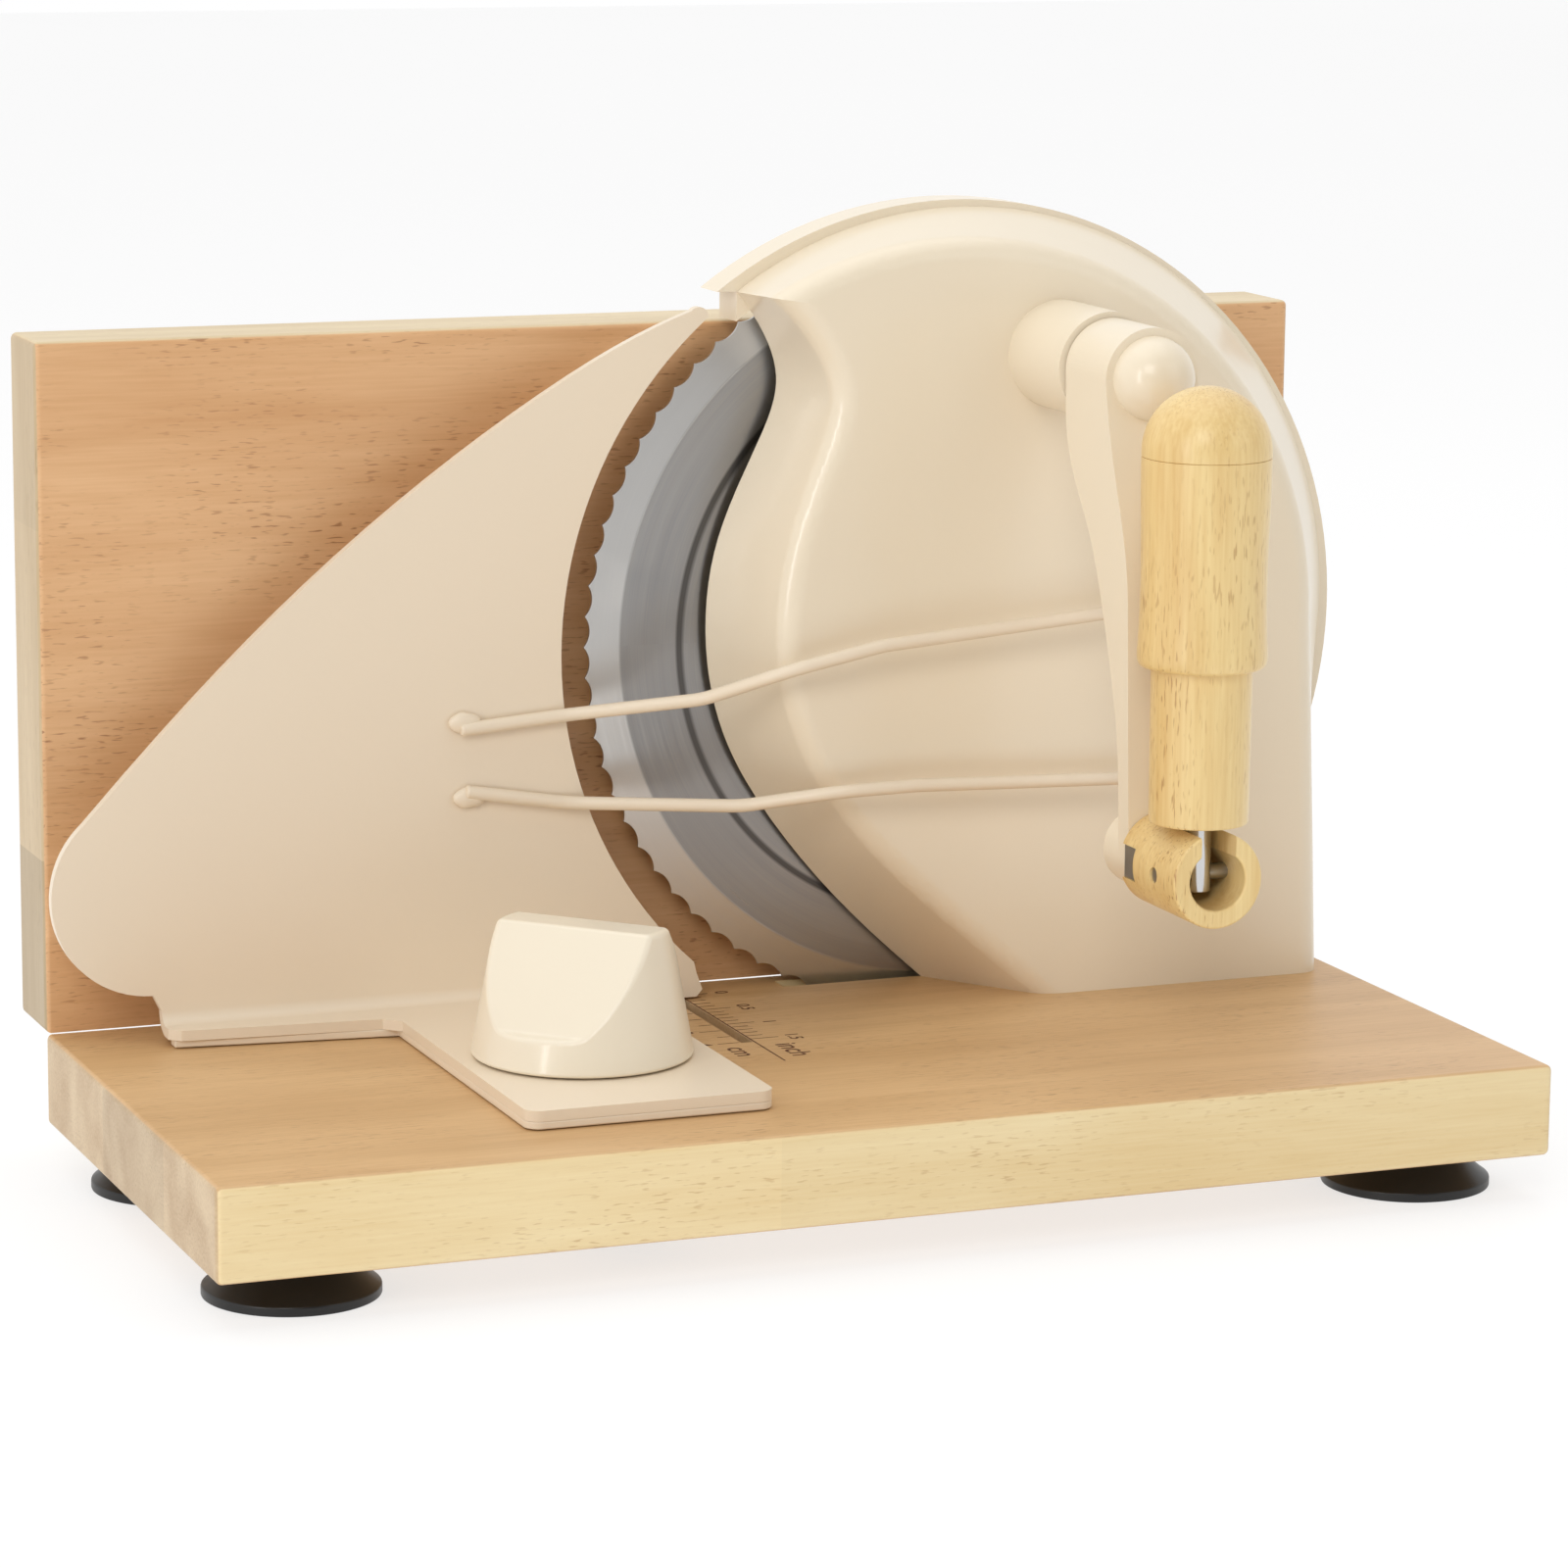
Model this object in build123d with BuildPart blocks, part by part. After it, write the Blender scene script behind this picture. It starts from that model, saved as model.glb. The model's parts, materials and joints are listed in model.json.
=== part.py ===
from build123d import *
from math import acos, atan2, cos, degrees, pi, radians, sin, sqrt, tan
import os

# Hand-cranked bread slicer on a wooden base with a fold-up bread bed.
# Millimetres. +X is the user's right, -Y points at the user, +Z is up.
# The origin is on the table, in the middle of the area that the slicer covers.

os.makedirs("parts", exist_ok=True)

# ---------------------------------------------------------------- sizes
# Boards
base_length = 260.0
base_depth = 118.0
base_thickness = 17.5
bed_width = 132.0
bed_thickness = 19.0
board_gap = 0.16
board_edge_radius = 1.2

# Feet
foot_radius = 16.0
foot_height = 8.5
foot_inset_x = 19.5
foot_inset_y = 21.0
foot_stem_radius = 7.0
foot_screw_radius = 2.0
foot_screw_length = 13.0
bed_foot_radius = 8.0
bed_foot_inset = 16.0
bed_foot_gap = 0.16

# Blade
blade_from_left = 183.2
blade_above_base = 70.0
blade_behind_front = 111.0
blade_radius = 77.0
blade_thickness = 1.2
blade_step_radius = 57.5
blade_step_height = 0.8
blade_bevel_width = 7.0
blade_edge_thickness = 0.35
scallop_count = 80
scallop_depth = 1.1
blade_clearance = 1.6

# Gear train
gear_module = 1.25
blade_gear_teeth = 65
drive_gear_teeth = 28
gear_face = 8.0
gear_backlash = 0.3
gear_lean = 10.7
gear_to_blade = 3.0
blade_hub_radius = 15.0
blade_screw_circle = 11.0
blade_screw_radius = 1.5
axle_radius = 5.0
running_gap = 0.05
side_gap = 0.3

# Cast gear case
case_wall = 2.6
case_front = 85.0
case_rear = 109.0
guard_rear = 117.2
case_edge_radius = 5.0
shaft_boss_radius = 10.6
shaft_boss_front = 61.5
boss_fillet = 3.0
post_radius = 3.6
cover_thickness = 1.5
cover_screw_radius = 1.2

# Crank
shaft_radius = 4.0
bush_wall = 2.0
hub_radius = 9.5
hub_length = 18.0
nose_radius = 8.0
arm_length = 89.2
arm_end_radius = 7.2
arm_end_length = 11.2
arm_tip_depth = 4.4

# Folding handle
knuckle_radius = 9.0
knuckle_length = 23.5
knuckle_bore_radius = 5.6
fold_pin_radius = 1.5
rod_radius = 2.5
rod_slot_width = 7.0
grip_length = 81.0
grip_radius = 12.0
grip_neck_radius = 9.25
grip_neck_length = 29.0
grip_cap_length = 13.0
grip_lift = 0.6
grip_dish_radius = 8.7
grip_dish_depth = 4.0
rod_nut_radius = 4.0
rod_nut_height = 3.2

# Slice thickness guide
sheet = 2.0
pad_thickness = 1.5
slide_gap = 0.2
wing_front = 104.0
wing_blade_gap = 7.3
wing_round_radius = 19.4
wing_round_x = 17.4
wing_round_z = 28.6
wing_overhang = 2.0
bend_radius = 2.4
flange_left = 19.0
flange_depth = 6.5
tab_left = 62.5
tab_right = 110.0
tab_front = 17.8
tab_corner_radius = 3.0
guide_open = 30.0
guide_closed = 4.0
guide_pin_x = 123.7
guide_pin_radius = 1.0
guide_pin_depth = 2.2
groove_width = 2.4
groove_front = 67.7
wire_radius = 1.3
wire_front = 77.5
wire_end_x = 212.0
wire_bend = 14.0
knob_x = 86.0
knob_y = 55.3
knob_radius = 20.7
knob_height = 24.6
knob_band = 7.0
knob_grip_width = 7.5
knob_turn = -46.0
knob_rounding = 1.4
clamp_bolt_radius = 3.0
clamp_slot_gap = 0.5

# Hinges and screws
hinge_width = 24.0
hinge_left_x = 50.0
hinge_right_x = 240.0
hinge_barrel_radius = 1.9
hinge_pin_radius = 0.9
leaf_thickness = 1.2
leaf_depth = 14.0
hinge_screw_radius = 1.4
hinge_screw_length = 12.0
case_screw_radius = 2.5
case_screw_head_radius = 4.5
case_screw_head_height = 3.0
case_screw_grip = 9.0
case_boss_radius = 5.0

# ---------------------------------------------------------------- places
rising = (Align.CENTER, Align.CENTER, Align.MIN)
guard_shift_x = -1.2
guard_shift_z = 1.8
guard_radius = blade_radius + blade_clearance + case_wall + 2.3
bed_foot_height = foot_height + base_thickness - bed_thickness - bed_foot_gap
guard_right_reach = blade_from_left + guard_shift_x + guard_radius
base_left = -(guard_right_reach - wing_overhang) / 2
base_front = -(base_depth + board_gap + bed_thickness + bed_foot_height) / 2
base_top = foot_height + base_thickness
base_right = base_left + base_length
base_rear = base_front + base_depth
base_middle_x = base_left + base_length / 2
base_middle_y = base_front + base_depth / 2
base_middle_z = foot_height + base_thickness / 2

blade_x = base_left + blade_from_left
blade_z = base_top + blade_above_base
blade_y = base_front + blade_behind_front
blade_back = blade_y + blade_thickness

gear_distance = gear_module * (blade_gear_teeth + drive_gear_teeth) / 2
crank_x = blade_x + gear_distance * sin(radians(gear_lean))
crank_z = blade_z + gear_distance * cos(radians(gear_lean))
gear_back = blade_y - blade_step_height - gear_to_blade - cover_thickness - side_gap
gear_front = gear_back - gear_face
cover_back = gear_back + side_gap + cover_thickness
case_face_y = base_front + case_front
case_rear_y = base_front + case_rear
guard_rear_y = base_front + guard_rear
boss_front_y = base_front + shaft_boss_front

hub_back_y = boss_front_y - 0.5
hub_front_y = hub_back_y - hub_length
handle_z = crank_z - arm_length
knuckle_back_y = base_front + 33.6
knuckle_front_y = knuckle_back_y - knuckle_length
fold_y = knuckle_front_y + knuckle_radius
arm_front_y = knuckle_back_y + 0.1
grip_bottom_z = handle_z + knuckle_radius + grip_lift
grip_top_z = grip_bottom_z + grip_length

tab_bottom_z = base_top + slide_gap + pad_thickness
tab_top_z = tab_bottom_z + sheet
knob_bottom_z = tab_top_z + side_gap
wing_y = base_front + wing_front
bed_front_y = base_rear + board_gap
bed_bottom_z = base_top + board_gap
hinge_y = base_rear + board_gap / 2
hinge_z = base_top + board_gap / 2


def rear_and_up(edge):
    """How far an edge lies to the rear and upwards, taken together."""
    return edge.center().Y + edge.center().Z


def upright(y):
    """Upright plane at depth y, seen by the user; extrusions grow towards the user."""
    return Plane.XZ.offset(-y)


def level(z):
    """Level plane at height z; extrusions grow upwards."""
    return Plane.XY.offset(z)


def across(x):
    """Plane across the slicer at x, drawn in (y, z); extrusions grow to the right."""
    return Plane.YZ.offset(x)


def save(piece, name):
    """Label one finished piece and write it."""
    piece.label = name
    export_step(piece, "parts/" + name + ".step")


def screw_solid(shank_radius, length, head_radius, head_height, flat_head=False):
    """Screw along +Z, its head's outer face at zero, its shank running up into the work."""
    with BuildPart() as screw:
        with BuildSketch(Plane.XZ):
            with BuildLine():
                head_rim = 0.3 if flat_head else head_height
                Polyline(
                    (0, 0),
                    (head_radius, 0),
                    (head_radius, head_rim),
                    (shank_radius, head_height),
                    (shank_radius, length - shank_radius),
                    (0, length),
                    (0, 0),
                )
            make_face()
        revolve(axis=Axis.Z)
        with BuildSketch(Plane.XY):
            Rectangle(head_radius * 1.3, head_radius * 0.28)
            Rectangle(head_radius * 0.28, head_radius * 1.3)
        extrude(amount=head_height * 0.45, mode=Mode.SUBTRACT)
    return screw.part


# ---------------------------------------------------------------- outlines of the case
# The left side of the case, from the base up to the tip over the blade, as distances
# from the blade's axis: first beside the blade, then at the front face.
side_by_blade = [
    (-7.2, -70.0), (-24.7, -53.6), (-40.5, -34.5), (-49.1, -19.5), (-53.4, -0.5),
    (-51.4, 19.4), (-42.8, 39.2), (-39.0, 51.5), (-42.6, 62.1), (-47.2, 68.5),
]
side_at_front = [
    (10.0, -70.0), (-9.0, -54.0), (-28.0, -36.0), (-40.0, -18.5), (-45.2, 0.0),
    (-44.0, 18.0), (-38.5, 36.0), (-35.0, 50.5), (-40.5, 62.0), (-47.7, 69.5),
]
front_shift_x = -10.5
front_shift_z = 2.6
front_radius = guard_radius - 5.5
case_right_at_blade = base_length - 0.8
case_right_at_front = base_length - 6.0


def case_outline(y, share, inset=0.0):
    """Outline of the case at depth y; share runs from 0 beside the blade to 1 at the front."""
    side = []
    for (near_x, near_z), (far_x, far_z) in zip(side_by_blade, side_at_front):
        side_x = near_x + share * (far_x - near_x)
        side_z = max(near_z + share * (far_z - near_z), -blade_above_base)
        side.append((blade_x + side_x, blade_z + side_z))
    side[0] = (side[0][0], base_top)
    radius = guard_radius - 1.2 + share * (front_radius - guard_radius)
    middle_x = blade_x + guard_shift_x + share * (front_shift_x - guard_shift_x)
    middle_z = blade_z + guard_shift_z + share * (front_shift_z - guard_shift_z)
    right = case_right_at_blade + share * (case_right_at_front - case_right_at_blade)
    top = (middle_x, middle_z + radius)
    widest = (middle_x + radius, middle_z)
    corner = (base_left + right, base_top)
    with BuildSketch(upright(y)) as outline:
        with BuildLine():
            Spline(*side)
            ThreePointArc(side[-1], top, widest)
            Line(widest, corner)
            Line(corner, side[0])
        make_face()
        if inset:
            offset(amount=-inset)
    return outline.sketch


# ---------------------------------------------------------------- base board
foot_places = [
    (base_left + foot_inset_x, base_front + foot_inset_y),
    (base_right - foot_inset_x, base_front + foot_inset_y),
    (base_left + foot_inset_x, base_rear - foot_inset_y),
    (base_right - foot_inset_x, base_rear - foot_inset_y),
]
case_screw_places = [
    (blade_x + 24.0, case_rear_y - 6.4),
    (base_right - 11.0, case_rear_y - 19.0),
    (base_right - 11.0, case_rear_y - 8.5),
]
hinge_places = [base_left + hinge_left_x, base_left + hinge_right_x]
case_screw_recess = base_thickness - case_screw_grip
hinge_screw_spread = hinge_width / 3
hinge_screw_z = base_top - leaf_depth * 0.6
hinge_hole_y = base_rear - leaf_thickness
hinge_hole_length = hinge_screw_length - leaf_thickness
hinge_recess = hinge_barrel_radius + 0.35
blade_slot_half = sqrt((blade_radius + blade_clearance) ** 2 - blade_above_base**2)
blade_slot_depth = blade_radius + blade_clearance - blade_above_base
clamp_slot_width = 2 * (clamp_bolt_radius + clamp_slot_gap)
clamp_travel = guide_open + guide_closed
clamp_middle_y = base_front + knob_y + (guide_closed - guide_open) / 2
clamp_head_width = 15.0
clamp_recess_depth = 8.0
groove_rear = wing_front + sheet / 2 + guide_closed + guide_pin_radius + 0.5

with BuildPart() as base_board:
    with Locations((base_middle_x, base_middle_y, base_middle_z)):
        Box(base_length, base_depth, base_thickness)
    # the edge beside the bed board stays square
    hinge_edge = base_board.edges().filter_by(Axis.X).sort_by(rear_and_up)[-1]
    fillet([edge for edge in base_board.edges() if edge != hinge_edge], radius=board_edge_radius)
    # slot that the blade dips into
    with BuildSketch(upright(blade_back + blade_clearance)):
        with Locations((blade_x, base_top - blade_slot_depth / 2)):
            Rectangle(2 * blade_slot_half, blade_slot_depth)
    extrude(amount=blade_thickness + blade_step_height + 2 * blade_clearance, mode=Mode.SUBTRACT)
    # slot and underside recess for the clamp bolt
    with BuildSketch(level(foot_height)):
        with Locations((base_left + knob_x, clamp_middle_y)):
            SlotCenterToCenter(clamp_travel, clamp_slot_width, rotation=90)
    extrude(amount=base_thickness, mode=Mode.SUBTRACT)
    with BuildSketch(level(foot_height)):
        with Locations((base_left + knob_x, clamp_middle_y)):
            Rectangle(clamp_head_width + 1.0, clamp_travel + clamp_head_width + 1.0)
    extrude(amount=clamp_recess_depth, mode=Mode.SUBTRACT)
    # groove for the guide's pin
    with BuildSketch(level(base_top)):
        groove_middle_y = base_front + (groove_front + groove_rear) / 2
        with Locations((base_left + guide_pin_x, groove_middle_y)):
            Rectangle(groove_width, groove_rear - groove_front)
    extrude(amount=-(guide_pin_depth + 0.8), mode=Mode.SUBTRACT)
    # screw holes for the feet and the case
    with Locations(*[(x, y, foot_height) for x, y in foot_places]):
        Cylinder(foot_screw_radius, foot_screw_length - 2.0, align=rising, mode=Mode.SUBTRACT)
    with Locations(*[(x, y, foot_height) for x, y in case_screw_places]):
        Cylinder(case_screw_radius + 0.2, base_thickness, align=rising, mode=Mode.SUBTRACT)
        Cylinder(case_screw_head_radius + 0.5, case_screw_recess, align=rising, mode=Mode.SUBTRACT)
    # hinge recesses along the upper rear edge
    for hinge_x in hinge_places:
        with BuildSketch(across(hinge_x - hinge_width / 2 - 0.2)):
            with Locations((hinge_y, hinge_z)):
                Circle(hinge_recess)
            with Locations((base_rear - leaf_thickness / 2, base_top - (leaf_depth - 0.5) / 2)):
                Rectangle(leaf_thickness, leaf_depth + 0.5)
        extrude(amount=hinge_width + 0.4, mode=Mode.SUBTRACT)
        with Locations(
            Plane((hinge_x - hinge_screw_spread, hinge_hole_y, hinge_screw_z), z_dir=(0, -1, 0)),
            Plane((hinge_x + hinge_screw_spread, hinge_hole_y, hinge_screw_z), z_dir=(0, -1, 0)),
        ):
            Cylinder(hinge_screw_radius, hinge_hole_length, align=rising, mode=Mode.SUBTRACT)
save(base_board.part, "base_board")

# ---------------------------------------------------------------- feet
foot_names = ["foot_front_left", "foot_front_right", "foot_rear_left", "foot_rear_right"]


def suction_foot(x, y):
    """Rubber foot with a hollow lip below and a narrow neck under the board."""
    neck = (foot_radius * 0.62, foot_height)
    lip = (foot_radius, foot_height * 0.2)
    waist = (foot_radius * 0.85, foot_height * 0.42)
    crown = (foot_screw_radius * 2, foot_height * 0.45)
    vault = (foot_radius * 0.6, foot_height * 0.3)
    with BuildPart() as foot:
        with BuildSketch(Plane((x, y, 0), x_dir=(1, 0, 0), z_dir=(0, -1, 0))):
            with BuildLine():
                Spline(lip, waist, neck)
                Polyline(neck, (foot_screw_radius, foot_height), (foot_screw_radius, crown[1]), crown)
                Spline(crown, vault, (foot_radius - 1.0, 0))
                Polyline((foot_radius - 1.0, 0), (foot_radius, 0), lip)
            make_face()
        revolve(axis=Axis((x, y, 0), (0, 0, 1)))
    return foot.part


for foot_name, (foot_x, foot_y) in zip(foot_names, foot_places):
    save(suction_foot(foot_x, foot_y), foot_name)

foot_screw_start = foot_height * 0.45 - 1.6
with BuildPart() as foot_screws:
    for foot_x, foot_y in foot_places:
        foot_screw = screw_solid(foot_screw_radius, foot_screw_length, 3.4, 1.6)
        add(Pos(foot_x, foot_y, foot_screw_start) * foot_screw)
save(foot_screws.part, "foot_screws")

# ---------------------------------------------------------------- gear case
share_middle = 0.45
post_places = [
    (blade_x - 27.2, blade_z + 46.0),
    (blade_x + 52.8, blade_z + 30.0),
    (blade_x + 48.8, blade_z - 46.0),
]
axle_boss_radius = axle_radius + 3.5
bush_radius = shaft_radius + running_gap + bush_wall
shaft_boss_back = gear_front - side_gap
case_middle_y = case_face_y + 0.55 * (case_rear_y - case_face_y)
cavity_face_y = case_face_y + case_wall

with BuildPart() as housing:
    loft(
        sections=[
            case_outline(case_rear_y, 0.0),
            case_outline(case_middle_y, share_middle),
            case_outline(case_face_y, 1.0),
        ]
    )
    front_edges = housing.faces().sort_by(Axis.Y)[0].edges()
    fillet(front_edges.filter_by(lambda edge: edge.center().Z > base_top + 1.0), radius=case_edge_radius)
    # guard over and behind the blade's edge, open on the bread's side
    with BuildSketch(upright(guard_rear_y)):
        with Locations((blade_x + guard_shift_x, blade_z + guard_shift_z)):
            Circle(guard_radius)
    extrude(amount=guard_rear_y - case_rear_y + 1.0)
    with BuildSketch(upright(guard_rear_y + 1.0)):
        with BuildLine():
            Polyline(
                (blade_x - blade_radius * 2, base_top - guard_radius),
                (blade_x - blade_radius * 2, blade_z + 72.0),
                (blade_x - 47.2, blade_z + 68.5),
                (blade_x - 47.2, blade_z),
                (blade_x, blade_z),
                (blade_x, base_top - guard_radius),
                (blade_x - blade_radius * 2, base_top - guard_radius),
            )
        make_face()
        with Locations((blade_x, blade_z)):
            Circle(blade_radius + blade_clearance)
        with Locations((blade_x, base_top - guard_radius)):
            Rectangle(6 * guard_radius, 2 * guard_radius)
    extrude(amount=guard_rear_y - case_rear_y + 2.0, mode=Mode.SUBTRACT)
    # cavity for the gears
    cavity_middle_y = cavity_face_y + 0.55 * (case_rear_y - cavity_face_y)
    loft(
        sections=[
            case_outline(case_rear_y, 0.0, case_wall),
            case_outline(cavity_middle_y, share_middle, case_wall),
            case_outline(cavity_face_y, 1.0, case_wall + 1.2),
        ],
        mode=Mode.SUBTRACT,
    )
    # boss for the crank shaft, outside and inside
    with BuildSketch(upright(cavity_face_y)):
        with Locations((crank_x, crank_z)):
            Circle(shaft_boss_radius)
    extrude(amount=cavity_face_y - boss_front_y)
    with BuildSketch(upright(shaft_boss_back)):
        with Locations((crank_x, crank_z)):
            Circle(bush_radius + case_wall)
    extrude(amount=shaft_boss_back - case_face_y - 1.0)
    # boss for the blade's axle, posts for the cover
    with BuildSketch(upright(gear_front - side_gap)):
        with Locations((blade_x, blade_z)):
            Circle(axle_boss_radius)
    extrude(amount=gear_front - side_gap - case_face_y - 1.0)
    with BuildSketch(upright(cover_back - cover_thickness)):
        with Locations(*post_places):
            Circle(post_radius)
    extrude(amount=cover_back - cover_thickness - case_face_y - 1.0)
    # screw bosses in the foot of the case
    for screw_x, screw_y in case_screw_places:
        with Locations((screw_x, screw_y, base_top)):
            Cylinder(case_boss_radius, 14.0, align=rising)
    # bores
    with BuildSketch(upright(shaft_boss_back + 1.0)):
        with Locations((crank_x, crank_z)):
            Circle(bush_radius)
    extrude(amount=shaft_boss_back + 1.0 - boss_front_y + 1.0, mode=Mode.SUBTRACT)
    with BuildSketch(upright(gear_front)):
        with Locations((blade_x, blade_z)):
            Circle(axle_radius)
    extrude(amount=gear_front - cavity_face_y, mode=Mode.SUBTRACT)
    with BuildSketch(upright(cover_back)):
        with Locations(*post_places):
            Circle(cover_screw_radius)
    extrude(amount=10.0, mode=Mode.SUBTRACT)
    with Locations(*[(x, y, base_top - 1.0) for x, y in case_screw_places]):
        Cylinder(case_screw_radius, 13.0, align=rising, mode=Mode.SUBTRACT)
save(housing.part, "housing")

# ---------------------------------------------------------------- gears
pressure_angle = radians(20.0)


def involute(angle):
    """Involute function of a pressure angle in radians."""
    return tan(angle) - angle


def tooth_half_angle(teeth, radius):
    """Half of a tooth's angle at the given radius, in radians, less the backlash."""
    pitch_radius = gear_module * teeth / 2
    base_radius = pitch_radius * cos(pressure_angle)
    local_angle = acos(min(1.0, base_radius / max(radius, base_radius)))
    pitch_half = (pi * gear_module / 2 - gear_backlash) / (2 * pitch_radius)
    return pitch_half + involute(pressure_angle) - involute(local_angle)


def gear_sketch(teeth, x, z, first_tooth, y):
    """Spur gear outline about (x, z), with a tooth centred on the angle first_tooth (degrees)."""
    pitch_radius = gear_module * teeth / 2
    rings = [
        (pitch_radius - 1.25 * gear_module, -1),
        (pitch_radius - 0.3 * gear_module, -1),
        (pitch_radius + 0.98 * gear_module, -1),
        (pitch_radius + 0.98 * gear_module, 1),
        (pitch_radius - 0.3 * gear_module, 1),
        (pitch_radius - 1.25 * gear_module, 1),
    ]
    points = []
    for tooth in range(teeth):
        centre = radians(first_tooth + 360.0 * tooth / teeth)
        for radius, hand in rings:
            angle = centre + hand * tooth_half_angle(teeth, radius)
            points.append((x + radius * cos(angle), z + radius * sin(angle)))
    points.append(points[0])
    with BuildSketch(upright(y)) as outline:
        with BuildLine():
            Polyline(*points)
        make_face()
    return outline.sketch


towards_blade = degrees(atan2(blade_z - crank_z, blade_x - crank_x))
towards_crank = towards_blade + 180.0
half_pitch = 180.0 / blade_gear_teeth

blade_gear_hub_back = blade_y - blade_step_height
with BuildPart() as blade_gear:
    blade_gear_turn = towards_crank + half_pitch
    extrude(gear_sketch(blade_gear_teeth, blade_x, blade_z, blade_gear_turn, gear_back), amount=gear_face)
    web_outer = gear_module * blade_gear_teeth / 2 - 6.0
    with BuildSketch(upright(gear_back)):
        with Locations((blade_x, blade_z)):
            Circle(web_outer)
            Circle(blade_hub_radius, mode=Mode.SUBTRACT)
    extrude(amount=2.5, mode=Mode.SUBTRACT)
    with BuildSketch(upright(blade_gear_hub_back)):
        with Locations((blade_x, blade_z)):
            Circle(blade_hub_radius)
    extrude(amount=blade_gear_hub_back - gear_back + 1.0)
    with BuildSketch(upright(blade_gear_hub_back)):
        with Locations((blade_x, blade_z)):
            Circle(axle_radius + running_gap)
            with PolarLocations(blade_screw_circle, 3):
                Circle(blade_screw_radius)
    extrude(amount=blade_gear_hub_back - gear_front, mode=Mode.SUBTRACT)
save(blade_gear.part, "blade_gear")

drive_hub_radius = 8.5
drive_hub_back = gear_back - 0.5
with BuildPart() as drive_gear:
    drive_outline = gear_sketch(drive_gear_teeth, crank_x, crank_z, towards_blade, drive_hub_back)
    extrude(drive_outline, amount=gear_face - 0.8)
    with BuildSketch(upright(drive_hub_back)):
        with Locations((crank_x, crank_z)):
            Circle(shaft_radius)
    extrude(amount=gear_face, mode=Mode.SUBTRACT)
    with Locations(Plane((crank_x, (gear_back + gear_front) / 2, crank_z), z_dir=(1, 0, 0))):
        Cylinder(1.0, 2 * drive_hub_radius, mode=Mode.SUBTRACT)
save(drive_gear.part, "drive_gear")

with BuildPart() as gear_pin:
    with Locations(Plane((crank_x, (gear_back + gear_front) / 2, crank_z), z_dir=(1, 0, 0))):
        Cylinder(1.0, 2 * drive_hub_radius)
save(gear_pin.part, "gear_pin")

# ---------------------------------------------------------------- blade


def edge_point(step):
    """Point on the blade's wavy edge: even steps are tips, odd steps the hollows between."""
    angle = pi * step / scallop_count
    reach = blade_radius - scallop_depth * (step % 2)
    return (blade_x + reach * cos(angle), blade_z + reach * sin(angle))


with BuildPart() as blade:
    with BuildSketch(upright(blade_back)):
        with BuildLine():
            for step in range(0, 2 * scallop_count, 2):
                ThreePointArc(edge_point(step), edge_point(step + 1), edge_point(step + 2))
        make_face()
    extrude(amount=blade_thickness)
    with BuildSketch(upright(blade_y)):
        with Locations((blade_x, blade_z)):
            Circle(blade_step_radius)
    extrude(amount=blade_step_height, taper=45)
    # bevel ground on the user's side
    with BuildSketch(Plane((blade_x, blade_y, blade_z), x_dir=(1, 0, 0), z_dir=(0, 0, 1))):
        with BuildLine():
            Polyline(
                (blade_radius - blade_bevel_width, 0),
                (blade_radius + 1.0, blade_thickness - blade_edge_thickness),
                (blade_radius + 1.0, -1.0),
                (blade_radius - blade_bevel_width, -1.0),
                (blade_radius - blade_bevel_width, 0),
            )
        make_face()
    revolve(axis=Axis((blade_x, blade_y, blade_z), (0, 1, 0)), mode=Mode.SUBTRACT)
    with BuildSketch(upright(blade_back)):
        with Locations((blade_x, blade_z)):
            Circle(axle_radius + running_gap)
            with PolarLocations(blade_screw_circle, 3):
                Circle(blade_screw_radius)
    extrude(amount=blade_thickness + blade_step_height, mode=Mode.SUBTRACT)
save(blade.part, "blade")

blade_screw_head = 1.0
with BuildPart() as blade_screws:
    for turn in range(3):
        angle = radians(120.0 * turn)
        screw_x = blade_x + blade_screw_circle * cos(angle)
        screw_z = blade_z + blade_screw_circle * sin(angle)
        spot = Plane((screw_x, blade_back + blade_screw_head, screw_z), z_dir=(0, -1, 0))
        add(spot.location * screw_solid(blade_screw_radius, 9.0, 2.6, blade_screw_head))
save(blade_screws.part, "blade_screws")

axle_back = blade_back + 0.15
with BuildPart() as blade_axle:
    with BuildSketch(upright(axle_back)):
        with Locations((blade_x, blade_z)):
            Circle(axle_radius)
    extrude(amount=axle_back - cavity_face_y - 1.0)
    with BuildSketch(upright(axle_back)):
        with Locations((blade_x, blade_z)):
            Circle(2.0)
    extrude(amount=10.0, mode=Mode.SUBTRACT)
save(blade_axle.part, "blade_axle")

washer_thickness = 0.9
with BuildPart() as axle_washer:
    with BuildSketch(upright(axle_back + washer_thickness)):
        with Locations((blade_x, blade_z)):
            Circle(axle_radius + 3.0)
            Circle(2.0, mode=Mode.SUBTRACT)
    extrude(amount=washer_thickness)
save(axle_washer.part, "axle_washer")

axle_screw_back = axle_back + washer_thickness + 1.8
axle_screw_spot = Plane((blade_x, axle_screw_back, blade_z), z_dir=(0, -1, 0))
axle_screw = axle_screw_spot.location * screw_solid(2.0, 11.0, 4.2, 1.8)
save(axle_screw, "axle_screw")

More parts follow.
